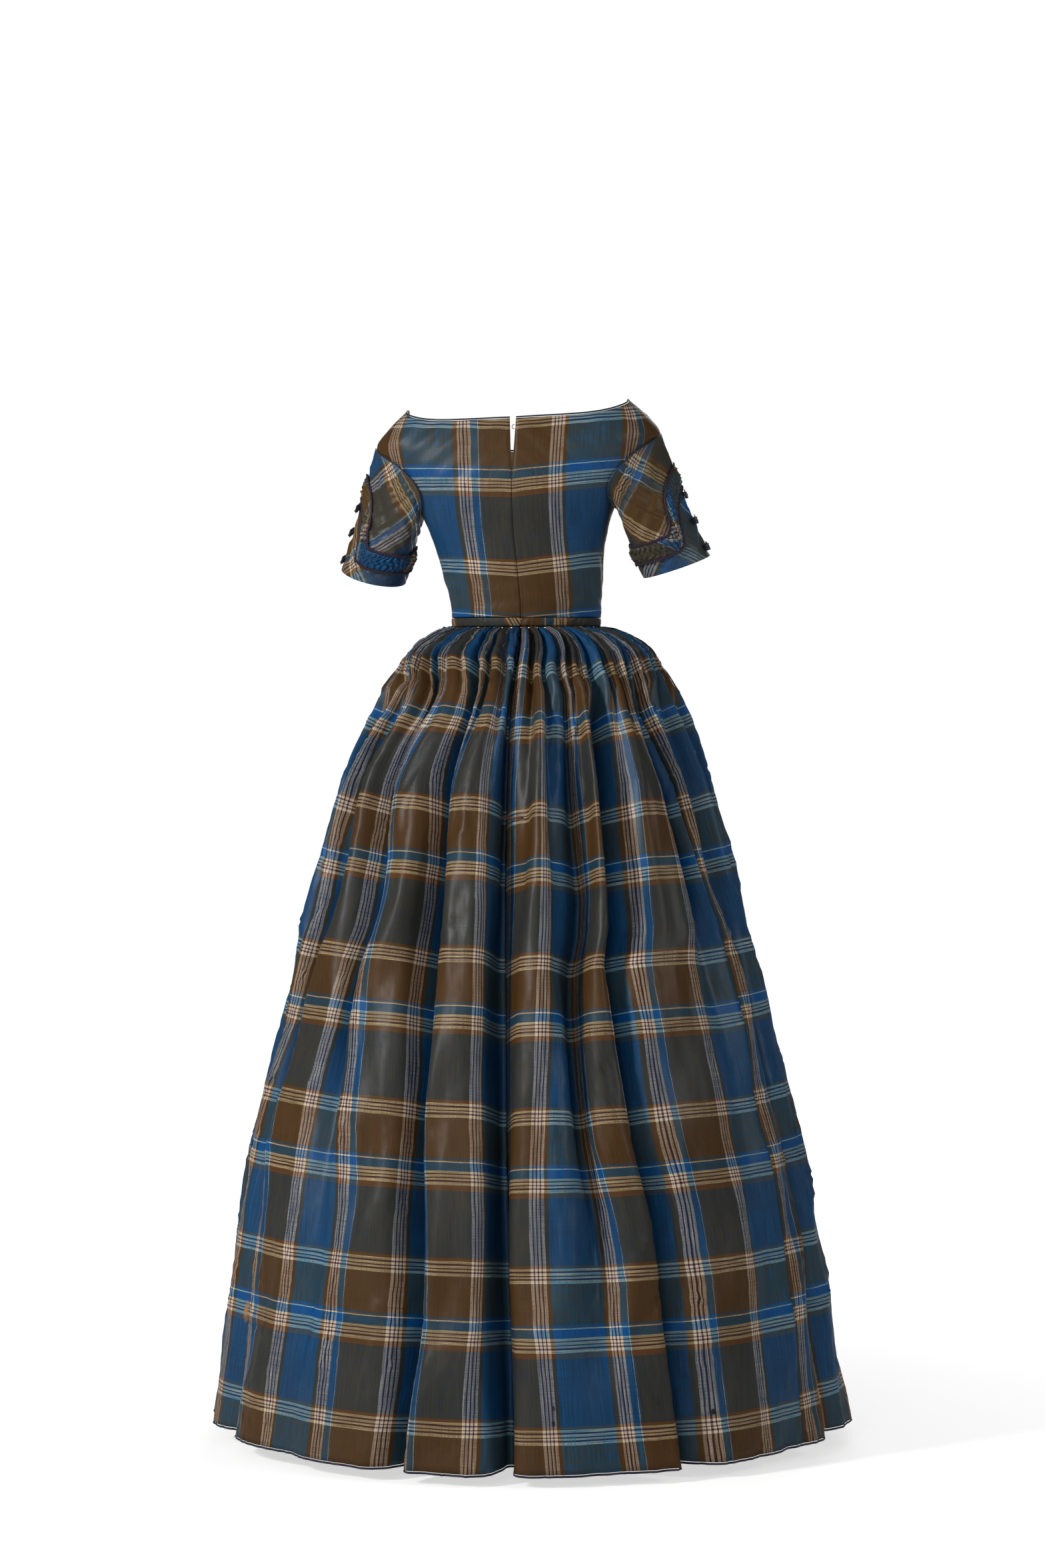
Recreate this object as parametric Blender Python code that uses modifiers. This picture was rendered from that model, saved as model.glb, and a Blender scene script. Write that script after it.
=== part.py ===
"""Plaid silk evening dress of about 1840, as it is worn: an off-the-shoulder bodice that closes down the
centre back, short sleeves with gathered bands, braid and bows, and a full bell skirt gathered into the waist.

The origin is the centre of the waist, +Z is up, the centre back faces -Y and the wearer's right is +X.
Every piece of cloth is a wall round the space that the wearer fills.
"""

from collections import namedtuple

import bmesh
import bpy
import numpy as np

# Cloth walls and the gaps between pieces
SKIRT_WALL = 0.0012
BODICE_WALL = 0.0014
SLEEVE_WALL = 0.0012
SEAM_GAP = 0.0003

# Skirt: straight widths of silk, gathered into the waist
SKIRT_WIDTHS = 6
WIDTH_OF_SILK = 0.570
SKIRT_CLOTH = SKIRT_WIDTHS * WIDTH_OF_SILK
SKIRT_LENGTH = 1.120
HEM_BINDING_HEIGHT = 0.004
HEM_BINDING_WALL = 0.0018

# The bell outside the folds: each row is a height, with the half width at the sides, the depth behind and in front, and
# how far the skirt hangs towards the wearer's right
Ring = namedtuple("Ring", "drop side back front sway")
SKIRT_BELL = (
    Ring(0.000, 0.0970, 0.0800, 0.0800, 0.000),
    Ring(0.006, 0.1215, 0.1040, 0.0990, 0.003),
    Ring(0.018, 0.1450, 0.1270, 0.1180, 0.005),
    Ring(0.053, 0.1760, 0.1620, 0.1460, 0.005),
    Ring(0.097, 0.2030, 0.1920, 0.1720, 0.004),
    Ring(0.176, 0.2350, 0.2320, 0.2070, 0.002),
    Ring(0.246, 0.2585, 0.2580, 0.2310, 0.001),
    Ring(0.387, 0.2945, 0.2980, 0.2680, 0.000),
    Ring(0.528, 0.3285, 0.3320, 0.3030, 0.000),
    Ring(0.669, 0.3630, 0.3630, 0.3360, 0.000),
    Ring(0.810, 0.3880, 0.3860, 0.3640, 0.002),
    Ring(0.951, 0.4085, 0.4060, 0.3870, 0.004),
    Ring(1.038, 0.4210, 0.4180, 0.4010, 0.006),
)

# Large folds, by the cloth's distance from the centre-back seam towards the wearer's right, with their depth at five
# distances down the cloth, how far they lean under their neighbours at the waist and at the hem, and how strong the
# small gathers are beside them
FOLD_LEVELS = (0.10, 0.25, 0.50, 0.75, 1.12)
Fold = namedtuple("Fold", "cloth top high middle low hem lean_waist lean_hem beside")
LARGE_FOLDS = (
    Fold(-0.600, 0.022, 0.034, 0.034, 0.018, 0.014, -0.20, 0.10, 0.40),
    Fold(-0.425, 0.016, 0.026, 0.026, 0.012, 0.006, -0.20, 0.30, 0.15),
    Fold(-0.225, 0.018, 0.028, 0.040, 0.034, 0.032, 0.20, 0.40, 0.45),
    Fold(-0.005, 0.036, 0.064, 0.060, 0.050, 0.038, -0.35, 0.20, 1.00),
    Fold(0.188, 0.032, 0.056, 0.042, 0.020, 0.004, 0.10, 0.10, 0.80),
    Fold(0.335, 0.030, 0.046, 0.029, 0.026, 0.034, 0.05, -0.70, 0.40),
    Fold(0.530, 0.018, 0.024, 0.012, 0.006, 0.004, 0.10, 0.10, 0.50),
    Fold(0.665, 0.026, 0.036, 0.030, 0.020, 0.016, -0.25, -0.10, 1.00),
    Fold(0.850, 0.028, 0.042, 0.038, 0.034, 0.036, 0.30, 0.20, 1.00),
    Fold(1.015, 0.022, 0.030, 0.028, 0.018, 0.014, 0.15, 0.20, 1.00),
    Fold(1.180, 0.028, 0.044, 0.046, 0.040, 0.040, -0.35, -0.20, 1.00),
    Fold(1.365, 0.024, 0.032, 0.024, 0.012, 0.012, 0.10, 0.10, 1.00),
    Fold(1.530, 0.028, 0.046, 0.044, 0.036, 0.034, 0.35, 0.20, 1.00),
    Fold(1.715, 0.022, 0.030, 0.028, 0.024, 0.028, -0.15, 0.10, 1.00),
    Fold(1.885, 0.028, 0.044, 0.042, 0.030, 0.024, 0.30, 0.30, 1.00),
    Fold(2.045, 0.022, 0.030, 0.026, 0.016, 0.014, -0.10, 0.10, 1.00),
    Fold(2.225, 0.028, 0.046, 0.046, 0.042, 0.042, -0.35, -0.10, 1.00),
    Fold(2.385, 0.024, 0.032, 0.026, 0.014, 0.012, 0.20, 0.20, 1.00),
    Fold(2.545, 0.026, 0.040, 0.038, 0.032, 0.034, 0.15, 0.10, 1.00),
    Fold(2.690, 0.022, 0.030, 0.028, 0.020, 0.018, -0.20, -0.20, 1.00),
)
SMALL_FOLDS_BETWEEN = 2

# How deep the small gathers are, and the deepest that any fold can be, down the cloth
Depth = namedtuple("Depth", "down small deepest")
FOLD_DEPTHS = (
    Depth(0.000, 0.0042, 0.0042),
    Depth(0.030, 0.0100, 0.0105),
    Depth(0.080, 0.0190, 0.0240),
    Depth(0.150, 0.0170, 0.0460),
    Depth(0.280, 0.0080, 0.0720),
    Depth(0.420, 0.0022, 0.0800),
    Depth(0.560, 0.0000, 0.0800),
    Depth(1.120, 0.0000, 0.0800),
)
STEEPEST_FOLD = 0.975
VALLEY_ROUNDING = 0.008
RIDGE_ROUNDING = 0.016
NARROWEST_FOLD = (0.006, 0.045)
SKIRT_ROWS = (0.0, 0.018, 0.045, 0.090, 0.165, 0.310, 0.530, 0.810, SKIRT_LENGTH)
BACK_DIP = 0.010

# Bodice: the general figure that it is cut for, above the waist
Section = namedtuple("Section", "height side back front square")
TORSO = (
    Section(0.000, 0.0970, 0.0800, 0.0800, 2.00),
    Section(0.035, 0.0995, 0.0820, 0.0860, 2.05),
    Section(0.070, 0.1047, 0.0860, 0.0970, 2.10),
    Section(0.105, 0.1103, 0.0900, 0.1080, 2.20),
    Section(0.140, 0.1215, 0.0935, 0.1160, 2.30),
    Section(0.160, 0.1300, 0.0945, 0.1180, 2.35),
    Section(0.190, 0.1490, 0.0940, 0.1150, 2.40),
    Section(0.225, 0.1765, 0.0890, 0.1030, 2.40),
    Section(0.246, 0.1870, 0.0840, 0.0920, 2.35),
    Section(0.270, 0.1700, 0.0770, 0.0790, 2.25),
    Section(0.300, 0.1370, 0.0680, 0.0680, 2.10),
)
BODICE_FOOT = 0.0125

# Height of the neck edge, by the angle round from the centre back
NECK_ANGLES = (0, 35, 70, 90, 115, 150, 180)
NECK_HEIGHTS = (0.2710, 0.2735, 0.2855, 0.2915, 0.2790, 0.2480, 0.2360)

# Armhole: the angle of its back and front edge, by the share of the bodice's height
Armhole = namedtuple("Armhole", "share back front")
ARMHOLE = (
    Armhole(0.500, 90.0, 90.0),
    Armhole(0.545, 69.0, 111.0),
    Armhole(0.600, 59.5, 120.5),
    Armhole(0.667, 56.0, 124.0),
    Armhole(0.730, 58.0, 122.0),
    Armhole(0.790, 67.0, 113.0),
    Armhole(0.836, 90.0, 90.0),
)
BODICE_ROWS = (0.0, 0.06, 0.17, 0.29, 0.40, 0.500, 0.545, 0.600, 0.667, 0.730, 0.790, 0.836, 0.875, 0.93, 1.0)
BACK_COLUMNS = 9
FRONT_COLUMNS = 17
BACK_OPENING_TOP = 0.0040
BACK_OPENING_FOOT = 0.0004

# The worn pose: the shoulders lie a little to the left and the right one is higher
LEAN = -0.0110
SHOULDER_TILT = 0.046
POSE_HEIGHT = 0.170

# Waistband and pipings
WAISTBAND_FOOT = 0.0012
WAISTBAND_TOP = 0.0117
WAISTBAND_WALL = 0.0020
WAISTBAND_COLUMNS = 40
PIPING_RADIUS = 0.0011
PIPING_GAP = 0.0015

# Sleeves: the cuff's centre, its outer end and its back end, from the waist's centre, in the worn pose
Cuff = namedtuple("Cuff", "centre outer back")
CUFFS = {
    "right": Cuff((0.1985, 0.004, 0.0800), (0.0430, 0.004, 0.0140), (-0.004, -0.0430, -0.0070)),
    "left": Cuff((-0.2060, 0.024, 0.0690), (-0.0425, 0.006, 0.0110), (-0.004, -0.0440, -0.0110)),
}
SIDES = {"right": 1, "left": -1}
SLEEVE_COLUMNS = 24
SLEEVE_ROWS = (0.0, 0.10, 0.24, 0.42, 0.62, 0.82, 1.0)
SLEEVE_LIFT = 0.0019
SLEEVE_EASE = 0.026
UNDERARM_EASE = 0.010

# Edges of the gathered band, by the angle round the sleeve from its outer line, as heights above the cuff
BAND_ANGLES = (0, 14, 28, 40, 50, 62, 80, 120, 180)
UPPER_BRAID_HEIGHTS = (0.130, 0.117, 0.101, 0.084, 0.063, 0.049, 0.046, 0.045, 0.045)
LOWER_BRAID_HEIGHTS = (0.098, 0.083, 0.064, 0.043, 0.027, 0.022, 0.020, 0.020, 0.020)
BAND_STATIONS = 48
BAND_WALL = 0.0011
BAND_PUFF = 0.0022
BAND_RUFFLE = 0.0012
BRAID_WIDTH = 0.0044
BRAID_THICKNESS = 0.0016
TRIM_GAP = 0.0011

# Bows on the outer line of each sleeve, as heights above the cuff
BOW_HEIGHTS = {"right": (0.086, 0.050, 0.012), "left": (0.085, 0.051, 0.012)}
BOW_WIDTH = 0.024
BOW_SHAPE = (0.0045, 0.0058, 0.0020, 0.0058, 0.0045)
BOW_RISE = (0.0048, 0.0034, 0.0002, 0.0034, 0.0048)
BOW_WALL = 0.0012

# Thread loop at the top of the back closing
LOOP_HEIGHT = 0.2600
LOOP_LENGTH = 0.0060
LOOP_THREAD = 0.0012

BLUE_SILK = (0.02, 0.13, 0.33, 1)
BROWN_SILK = (0.12, 0.065, 0.025, 1)
NAVY_BRAID = (0.02, 0.02, 0.07, 1)
CRIMSON_BRAID = (0.16, 0.012, 0.03, 1)


def make_material(name, colour, roughness):
    material = bpy.data.materials.new(name)
    material.use_nodes = True
    shader = material.node_tree.nodes["Principled BSDF"]
    shader.inputs["Base Color"].default_value = colour
    shader.inputs["Roughness"].default_value = roughness
    shader.inputs["Metallic"].default_value = 0.0
    return material


def smooth_curve(knots, values, at):
    """Reads a smooth curve through the given rows."""
    knots, values = np.asarray(knots, float), np.asarray(values, float)
    slope = np.gradient(values, knots)
    at = np.clip(at, knots[0], knots[-1])
    i = np.clip(np.searchsorted(knots, at, side="right") - 1, 0, len(knots) - 2)
    step = knots[i + 1] - knots[i]
    t = (at - knots[i]) / step
    return (
        values[i] * (1 + 2 * t) * (1 - t) ** 2
        + slope[i] * step * t * (1 - t) ** 2
        + values[i + 1] * t**2 * (3 - 2 * t)
        - slope[i + 1] * step * t**2 * (1 - t)
    )


def table_curve(table, column, at):
    return smooth_curve([row[0] for row in table], [getattr(row, column) for row in table], at)


def unit(vectors):
    return vectors / np.maximum(np.linalg.norm(vectors, axis=-1, keepdims=True), 1e-12)


def grid_normals(points, closed):
    """Normals of a grid of points, rows going down or up and columns going towards the wearer's right."""
    if closed:
        across = np.roll(points, -1, axis=1) - np.roll(points, 1, axis=1)
    else:
        across = np.gradient(points, axis=1)
    along = np.gradient(points, axis=0)
    return unit(np.cross(across, along))


def make_object(name, vertices, faces, material, collection):
    mesh = bpy.data.meshes.new(name)
    mesh.from_pydata([tuple(v) for v in vertices], [], faces)
    work = bmesh.new()
    work.from_mesh(mesh)
    bmesh.ops.recalc_face_normals(work, faces=work.faces[:])
    work.to_mesh(mesh)
    work.free()
    mesh.shade_smooth()
    mesh.set_sharp_from_angle(angle=np.radians(50))
    mesh.materials.append(material)
    piece = bpy.data.objects.new(name, mesh)
    collection.objects.link(piece)
    return piece


def make_cloth(name, points, wall, closed, material, collection):
    """Cloth of one thickness through the middle of a grid of points."""
    rows, columns = points.shape[:2]
    faces = []
    for row in range(rows - 1):
        for column in range(columns if closed else columns - 1):
            following = (column + 1) % columns
            below = (row + 1) * columns
            faces.append((row * columns + column, row * columns + following, below + following, below + column))
    piece = make_object(name, points.reshape(-1, 3), faces, material, collection)
    thickness = piece.modifiers.new("cloth wall", "SOLIDIFY")
    thickness.thickness = wall
    thickness.offset = 0
    return piece


def make_pleated_wall(name, outer, inner, material, collection):
    """Cloth between two grids of points. Its side edges lie flat against the next width's, which Solidify would
    tilt where a seam falls in a pleat."""
    rows, columns = outer.shape[:2]

    def corner(side, row, column):
        return (side * rows + row) * columns + column

    faces = []
    for row in range(rows - 1):
        for column in range(columns - 1):
            for side in (0, 1):
                faces.append(
                    (
                        corner(side, row, column),
                        corner(side, row, column + 1),
                        corner(side, row + 1, column + 1),
                        corner(side, row + 1, column),
                    )
                )
    for row in (0, rows - 1):
        for column in range(columns - 1):
            following = column + 1
            faces.append(
                (corner(0, row, column), corner(0, row, following), corner(1, row, following), corner(1, row, column))
            )
    for column in (0, columns - 1):
        for row in range(rows - 1):
            # Both sides of a seam are split along the same diagonal, so that they stay apart where the cloth twists.
            start, end = corner(0, row, column), corner(1, row + 1, column)
            for third in (corner(0, row + 1, column), corner(1, row, column)):
                faces.append((start, third, end))
    points = np.concatenate([outer.reshape(-1, 3), inner.reshape(-1, 3)])
    return make_object(name, points, faces, material, collection)


def make_strand(name, corners, closed, material, collection):
    """A cord or braid from the lines that its corners follow."""
    sides, stations = len(corners), len(corners[0])
    vertices = np.stack(corners, axis=1).reshape(-1, 3)
    faces = []
    for station in range(stations if closed else stations - 1):
        start, end = station * sides, (station + 1) % stations * sides
        for side in range(sides):
            beside = (side + 1) % sides
            faces.append((start + side, start + beside, end + beside, end + side))
    if not closed:
        faces.append(tuple(range(sides)))
        faces.append(tuple(range(stations * sides - 1, (stations - 1) * sides - 1, -1)))
    return make_object(name, vertices, faces, material, collection)


def diamond(centres, across, up, width, height):
    """Four corner lines of a cord."""
    aside, above = across * width / 2, up * height / 2
    return centres + aside, centres + above, centres - aside, centres - above


def all_folds():
    """All folds round the skirt in order: place on the cloth, its large fold, and whether it is that fold itself."""
    large = sorted(LARGE_FOLDS, key=lambda fold: fold.cloth % SKIRT_CLOTH)
    folds = []
    for fold, following in zip(large, large[1:] + large[:1]):
        start = fold.cloth % SKIRT_CLOTH
        gap = (following.cloth - fold.cloth) % SKIRT_CLOTH
        for k in range(SMALL_FOLDS_BETWEEN + 1):
            place = (start + gap * k / (SMALL_FOLDS_BETWEEN + 1)) % SKIRT_CLOTH
            folds.append((place, fold, k == 0))
    return sorted(folds, key=lambda row: row[0])


def fold_profile(distance, depth, narrowest):
    """How far the cloth lies inside the bell, by its distance from the bottom of one fold."""
    width = np.maximum(depth / STEEPEST_FOLD + VALLEY_ROUNDING / 2, narrowest)
    bottom = np.minimum(VALLEY_ROUNDING, width / 2)
    ridge = np.minimum(RIDGE_ROUNDING, 0.8 * width)
    steep = np.clip(distance, bottom, width - ridge) - bottom / 2
    turn = np.clip(distance - (width - ridge), 0, 2 * ridge)
    run = np.where(distance < bottom, distance**2 / (2 * bottom), steep + turn - turn**2 / (4 * ridge))
    return depth * np.clip(1 - run / (width - bottom / 2), 0, 1)


def fold_depths(down, share):
    """Depth of each fold at one distance down the cloth, with the share of it that this girth needs."""
    deepest = table_curve(FOLD_DEPTHS, "deepest", down)
    small = table_curve(FOLD_DEPTHS, "small", down)
    depths = []
    for _, fold, is_large in all_folds():
        own = smooth_curve(FOLD_LEVELS, fold[1:6], down) if is_large else small * fold.beside
        depths.append(min(share * own, deepest))
    return np.array(depths)


def summed_folds(down, share, cloth):
    """Depth of all folds together, and their lean, at one distance down the cloth."""
    narrowest = np.interp(down, (0, 0.5), NARROWEST_FOLD)
    inward, lean = np.zeros_like(cloth), np.zeros_like(cloth)
    for (place, fold, is_large), depth in zip(all_folds(), fold_depths(down, share)):
        if depth < 1e-5:
            continue
        distance = np.abs((cloth - place + SKIRT_CLOTH / 2) % SKIRT_CLOTH - SKIRT_CLOTH / 2)
        own = fold_profile(distance, depth, narrowest)
        inward += own
        if is_large:
            lean += own * np.interp(down / SKIRT_LENGTH, (0, 1), (fold.lean_waist, fold.lean_hem))
    return inward, lean


def folded_cloth(down, share, cloth):
    """Inward offset and sideways lean of the cloth, with the highest ridge between large folds on the bell."""
    inward, lean = summed_folds(down, share, cloth)
    large = sorted(fold.cloth % SKIRT_CLOTH for fold in LARGE_FOLDS)
    crests, heights = [], []
    for start, end in zip(large, large[1:] + [large[0] + SKIRT_CLOTH]):
        between = np.linspace(start, end, 41)
        depths = summed_folds(down, share, between % SKIRT_CLOTH)[0]
        crests.append(between[np.argmin(depths)])
        heights.append(depths.min())
    crests, heights = np.array(crests), np.array(heights)
    order = np.argsort(crests % SKIRT_CLOTH)
    return inward - np.interp(cloth, crests[order] % SKIRT_CLOTH, heights[order], period=SKIRT_CLOTH), lean


def bell_drop(down):
    """Height lost below the waist at one distance down the cloth at the side."""
    drops = np.linspace(0, SKIRT_BELL[-1].drop, 400)
    sides = table_curve(SKIRT_BELL, "side", drops)
    run = np.concatenate([[0], np.cumsum(np.hypot(np.diff(drops), np.diff(sides)))])
    return np.interp(down / SKIRT_LENGTH * run[-1], run, drops)


def bell_ring(drop):
    """One turn of the bell from the centre back towards the wearer's right, with its normals and lengths."""
    angles = np.linspace(0, 2 * np.pi, 1441)
    side, back, front = (table_curve(SKIRT_BELL, column, drop) for column in ("side", "back", "front"))
    depth = np.where(np.cos(angles) > 0, back, front)
    ring = np.stack([side * np.sin(angles), -depth * np.cos(angles)], axis=1)
    outward = unit(np.stack([depth * np.sin(angles), -side * np.cos(angles)], axis=1))
    lengths = np.concatenate([[0], np.cumsum(np.linalg.norm(np.diff(ring, axis=0), axis=1))])
    return ring, outward, lengths


def bell_lift(drop):
    """Upward part of the bell's normal at one height."""
    widths = table_curve(SKIRT_BELL, "side", np.array([drop, drop + 0.002]))
    rise = max(widths[1] - widths[0], 0)
    return rise / np.hypot(rise, 0.002)


def cloth_lengths(down, girth):
    """Distances round the bell that the cloth takes up, once its spare width has gone into the folds."""
    cloth = np.linspace(0, SKIRT_CLOTH, 1711)

    def run(share):
        inward, _ = folded_cloth(down, share, cloth)
        slope = np.clip(np.abs(np.gradient(inward, cloth)), 0, 0.985)
        steps = np.sqrt(1 - slope**2)
        return np.concatenate([[0], np.cumsum((steps[1:] + steps[:-1]) / 2 * np.diff(cloth))])

    low, high = 0.2, 2.2
    for _ in range(14):
        share = (low + high) / 2
        if run(share)[-1] > girth:
            low = share
        else:
            high = share
    taken = run(share)
    return share, cloth, taken * girth / taken[-1]


def skirt_row(down, columns):
    """Points of the folded cloth at one distance down, by their distances across the cloth."""
    drop = bell_drop(down)
    back_depth = table_curve(SKIRT_BELL, "back", drop)
    ring, outward, lengths = bell_ring(drop)
    lift = bell_lift(drop)
    share, cloth, taken = cloth_lengths(down, lengths[-1])
    inward, lean = folded_cloth(down, share, columns)
    place = (np.interp(columns, cloth, taken) + lean) % lengths[-1]
    level = np.sqrt(1 - lift**2)
    points = np.empty((len(columns), 3))
    for axis in (0, 1):
        edge = np.interp(place, lengths, ring[:, axis])
        points[:, axis] = edge - inward * level * np.interp(place, lengths, outward[:, axis])
    points[:, 0] += table_curve(SKIRT_BELL, "sway", drop)
    back = np.clip(-points[:, 1] / back_depth, 0, 1)
    points[:, 2] = -drop - inward * lift - BACK_DIP * (down / SKIRT_LENGTH * back) ** 2
    return points


def skirt_columns():
    """Places across the cloth where the wall has a corner: valleys, ridges and the seams of the widths."""
    places = [place for place, _, _ in all_folds()]
    columns = []
    for place, following in zip(places, places[1:] + [places[0] + SKIRT_CLOTH]):
        gap = following - place
        columns += [place + gap * quarter / 4 for quarter in range(4)]
    columns = np.sort(np.array(columns) % SKIRT_CLOTH)
    for seam in range(SKIRT_WIDTHS):
        nearest = np.argmin(np.abs((columns - seam * WIDTH_OF_SILK + SKIRT_CLOTH / 2) % SKIRT_CLOTH - SKIRT_CLOTH / 2))
        columns[nearest] = seam * WIDTH_OF_SILK
    return np.sort(columns)


def make_skirt(silk, braid, collection):
    columns = skirt_columns()
    middle = np.stack([skirt_row(down, columns) for down in SKIRT_ROWS])
    # Rows run down and columns to the right, so the cross product faces out.
    normals = grid_normals(middle, closed=True)
    for width in range(SKIRT_WIDTHS):
        first = int(np.searchsorted(columns, width * WIDTH_OF_SILK - 1e-9))
        last = int(np.searchsorted(columns, (width + 1) * WIDTH_OF_SILK - 1e-9))
        picked = np.arange(first, last + 1) % len(columns)
        cloth, half = middle[:, picked].copy(), normals[:, picked] * SKIRT_WALL / 2
        aside = unit(np.roll(middle, -1, axis=1) - np.roll(middle, 1, axis=1))[:, picked]
        cloth[:, 0] += aside[:, 0] * SEAM_GAP / 2
        cloth[:, -1] -= aside[:, -1] * SEAM_GAP / 2
        make_pleated_wall(f"skirt_width_{width + 1}", cloth + half, cloth - half, silk, collection)
    make_hem_binding(middle[-1], braid, collection)


def make_hem_binding(hem, braid, collection):
    """Braid that hangs just below the hem, all round."""
    level = np.roll(hem, -1, axis=0) - np.roll(hem, 1, axis=0)
    outward = unit(np.stack([level[:, 1], -level[:, 0], np.zeros(len(hem))], axis=1))
    top = hem - [0, 0, 2 * SEAM_GAP]
    half = outward * HEM_BINDING_WALL / 2
    corners = (top + half, top - half, top - [0, 0, HEM_BINDING_HEIGHT])
    make_strand("hem_binding", corners, True, braid, collection)


def pose(points):
    """Moves points of the upright bodice into the worn pose."""
    share = np.clip(points[..., 2] / POSE_HEIGHT, 0, 1)
    share = share**2 * (3 - 2 * share)
    posed = points.copy()
    posed[..., 0] += LEAN * share
    posed[..., 2] += SHOULDER_TILT * points[..., 0] * share
    return posed


def torso_points(degrees, height):
    """Points on the figure that the bodice is cut for, by the angle round from the centre back."""
    angle = np.radians(degrees)
    side, back, front, square = (
        table_curve(TORSO, column, height) for column in ("side", "back", "front", "square")
    )
    sine, cosine = np.sin(angle), np.cos(angle)
    x = side * np.sign(sine) * np.abs(sine) ** (2 / square)
    y = -np.where(cosine > 0, back, front) * np.sign(cosine) * np.abs(cosine) ** (2 / square)
    return np.stack([x, y, np.broadcast_to(height, x.shape)], axis=-1)


def neck_height(degrees):
    turned = np.abs((np.asarray(degrees, float) + 180) % 360 - 180)
    return smooth_curve(NECK_ANGLES, NECK_HEIGHTS, turned)


def bodice_points(degrees, share):
    height = BODICE_FOOT + share * (neck_height(degrees) - BODICE_FOOT)
    return torso_points(degrees, height)


def armhole_edge(column, share):
    """Angle of the bodice's edge at the side seam, armhole or shoulder."""
    inside = ARMHOLE[0].share <= share <= ARMHOLE[-1].share
    return float(table_curve(ARMHOLE, column, share)) if inside else 90.0


def back_edge(share):
    """Angle of the centre-back edge, which stands open at the top."""
    gap = np.interp(share, (0, 0.72, 1), (BACK_OPENING_FOOT, BACK_OPENING_FOOT, BACK_OPENING_TOP))
    height = BODICE_FOOT + share * (NECK_HEIGHTS[0] - BODICE_FOOT)
    side, square = table_curve(TORSO, "side", height), table_curve(TORSO, "square", height)
    return float(np.degrees(np.arcsin((gap / side) ** (square / 2))))


def panel_angles(start, end, columns):
    """Angles evenly spaced across a panel."""
    share = np.linspace(0, 1, columns)
    return start + (end - start) * share


def torso_normals(degrees, share):
    step = 0.5
    aside = bodice_points(degrees + step, share) - bodice_points(degrees - step, share)
    up = bodice_points(degrees, np.minimum(share + 0.01, 1)) - bodice_points(degrees, share - 0.01)
    return unit(np.cross(aside, up))


def make_bodice(silk, collection):
    shares = np.array(BODICE_ROWS)
    back_angles = np.stack(
        [panel_angles(back_edge(share), armhole_edge("back", share), BACK_COLUMNS) for share in shares]
    )
    front_angles = np.stack(
        [
            panel_angles(armhole_edge("front", share), 360 - armhole_edge("front", share), FRONT_COLUMNS)
            for share in shares
        ]
    )
    seam = np.degrees(SEAM_GAP / 2 / 0.1)
    for name, angles in (
        ("bodice_back_right", back_angles),
        ("bodice_back_left", -back_angles),
        ("bodice_front", front_angles),
    ):
        rows = np.broadcast_to(shares[:, None], angles.shape)
        turned = angles.copy()
        if name == "bodice_front":
            turned[:, 0] += seam
            turned[:, -1] -= seam
        else:
            turned[:, -1] -= seam * np.sign(turned[:, -1])
        make_cloth(name, pose(bodice_points(turned, rows)), BODICE_WALL, False, silk, collection)


def make_neck_piping(material, collection):
    right = np.linspace(back_edge(1.0), 90, BACK_COLUMNS)
    front = np.linspace(90, 270, FRONT_COLUMNS)
    angles = np.concatenate([right, front[1:-1], 360 - right[::-1]])
    edge = bodice_points(angles, np.ones_like(angles))
    outward = torso_normals(angles, np.ones_like(angles))
    along = unit(np.gradient(edge, axis=0))
    up = unit(np.cross(outward, along))
    up *= np.sign(up[:, 2:])
    centres = edge + up * (PIPING_RADIUS + 3 * SEAM_GAP)
    corners = diamond(pose(centres), outward, up, 2 * PIPING_RADIUS, 2 * PIPING_RADIUS)
    make_strand("neck_piping", corners, False, material, collection)


def make_waistband(silk, collection):
    opening = 0.2
    angles = np.linspace(opening, 360 - opening, WAISTBAND_COLUMNS)
    heights = (WAISTBAND_FOOT, WAISTBAND_TOP)
    cloth = np.stack([torso_points(angles, np.full(len(angles), height)) for height in heights])
    make_cloth("waistband", pose(cloth), WAISTBAND_WALL, False, silk, collection)


def armhole_ring(side):
    """Points round the armhole from its top, down the back and up the front, with the bodice's normals and the
    directions that lead off the bodice's edge."""
    steps = SLEEVE_COLUMNS // 2
    down = np.linspace(ARMHOLE[-1].share, ARMHOLE[0].share, steps + 1)
    shares = np.concatenate([down, down[-2:0:-1]])
    back = table_curve(ARMHOLE, "back", down)
    front = table_curve(ARMHOLE, "front", down)
    angles = np.concatenate([back, front[-2:0:-1]]) * SIDES[side]
    ring = bodice_points(angles, shares)
    normals = torso_normals(angles, shares)
    along = unit(np.roll(ring, -1, axis=0) - np.roll(ring, 1, axis=0))
    off = unit(np.cross(normals, along))
    off *= np.sign(np.sum(off * (ring.mean(axis=0) - ring), axis=1, keepdims=True))
    return ring, normals, off


def cuff_ring(side):
    cuff = CUFFS[side]
    turn = np.linspace(0, 2 * np.pi, SLEEVE_COLUMNS, endpoint=False)[:, None]
    return np.array(cuff.centre) + np.cos(turn) * np.array(cuff.outer) + np.sin(turn) * np.array(cuff.back)


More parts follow.
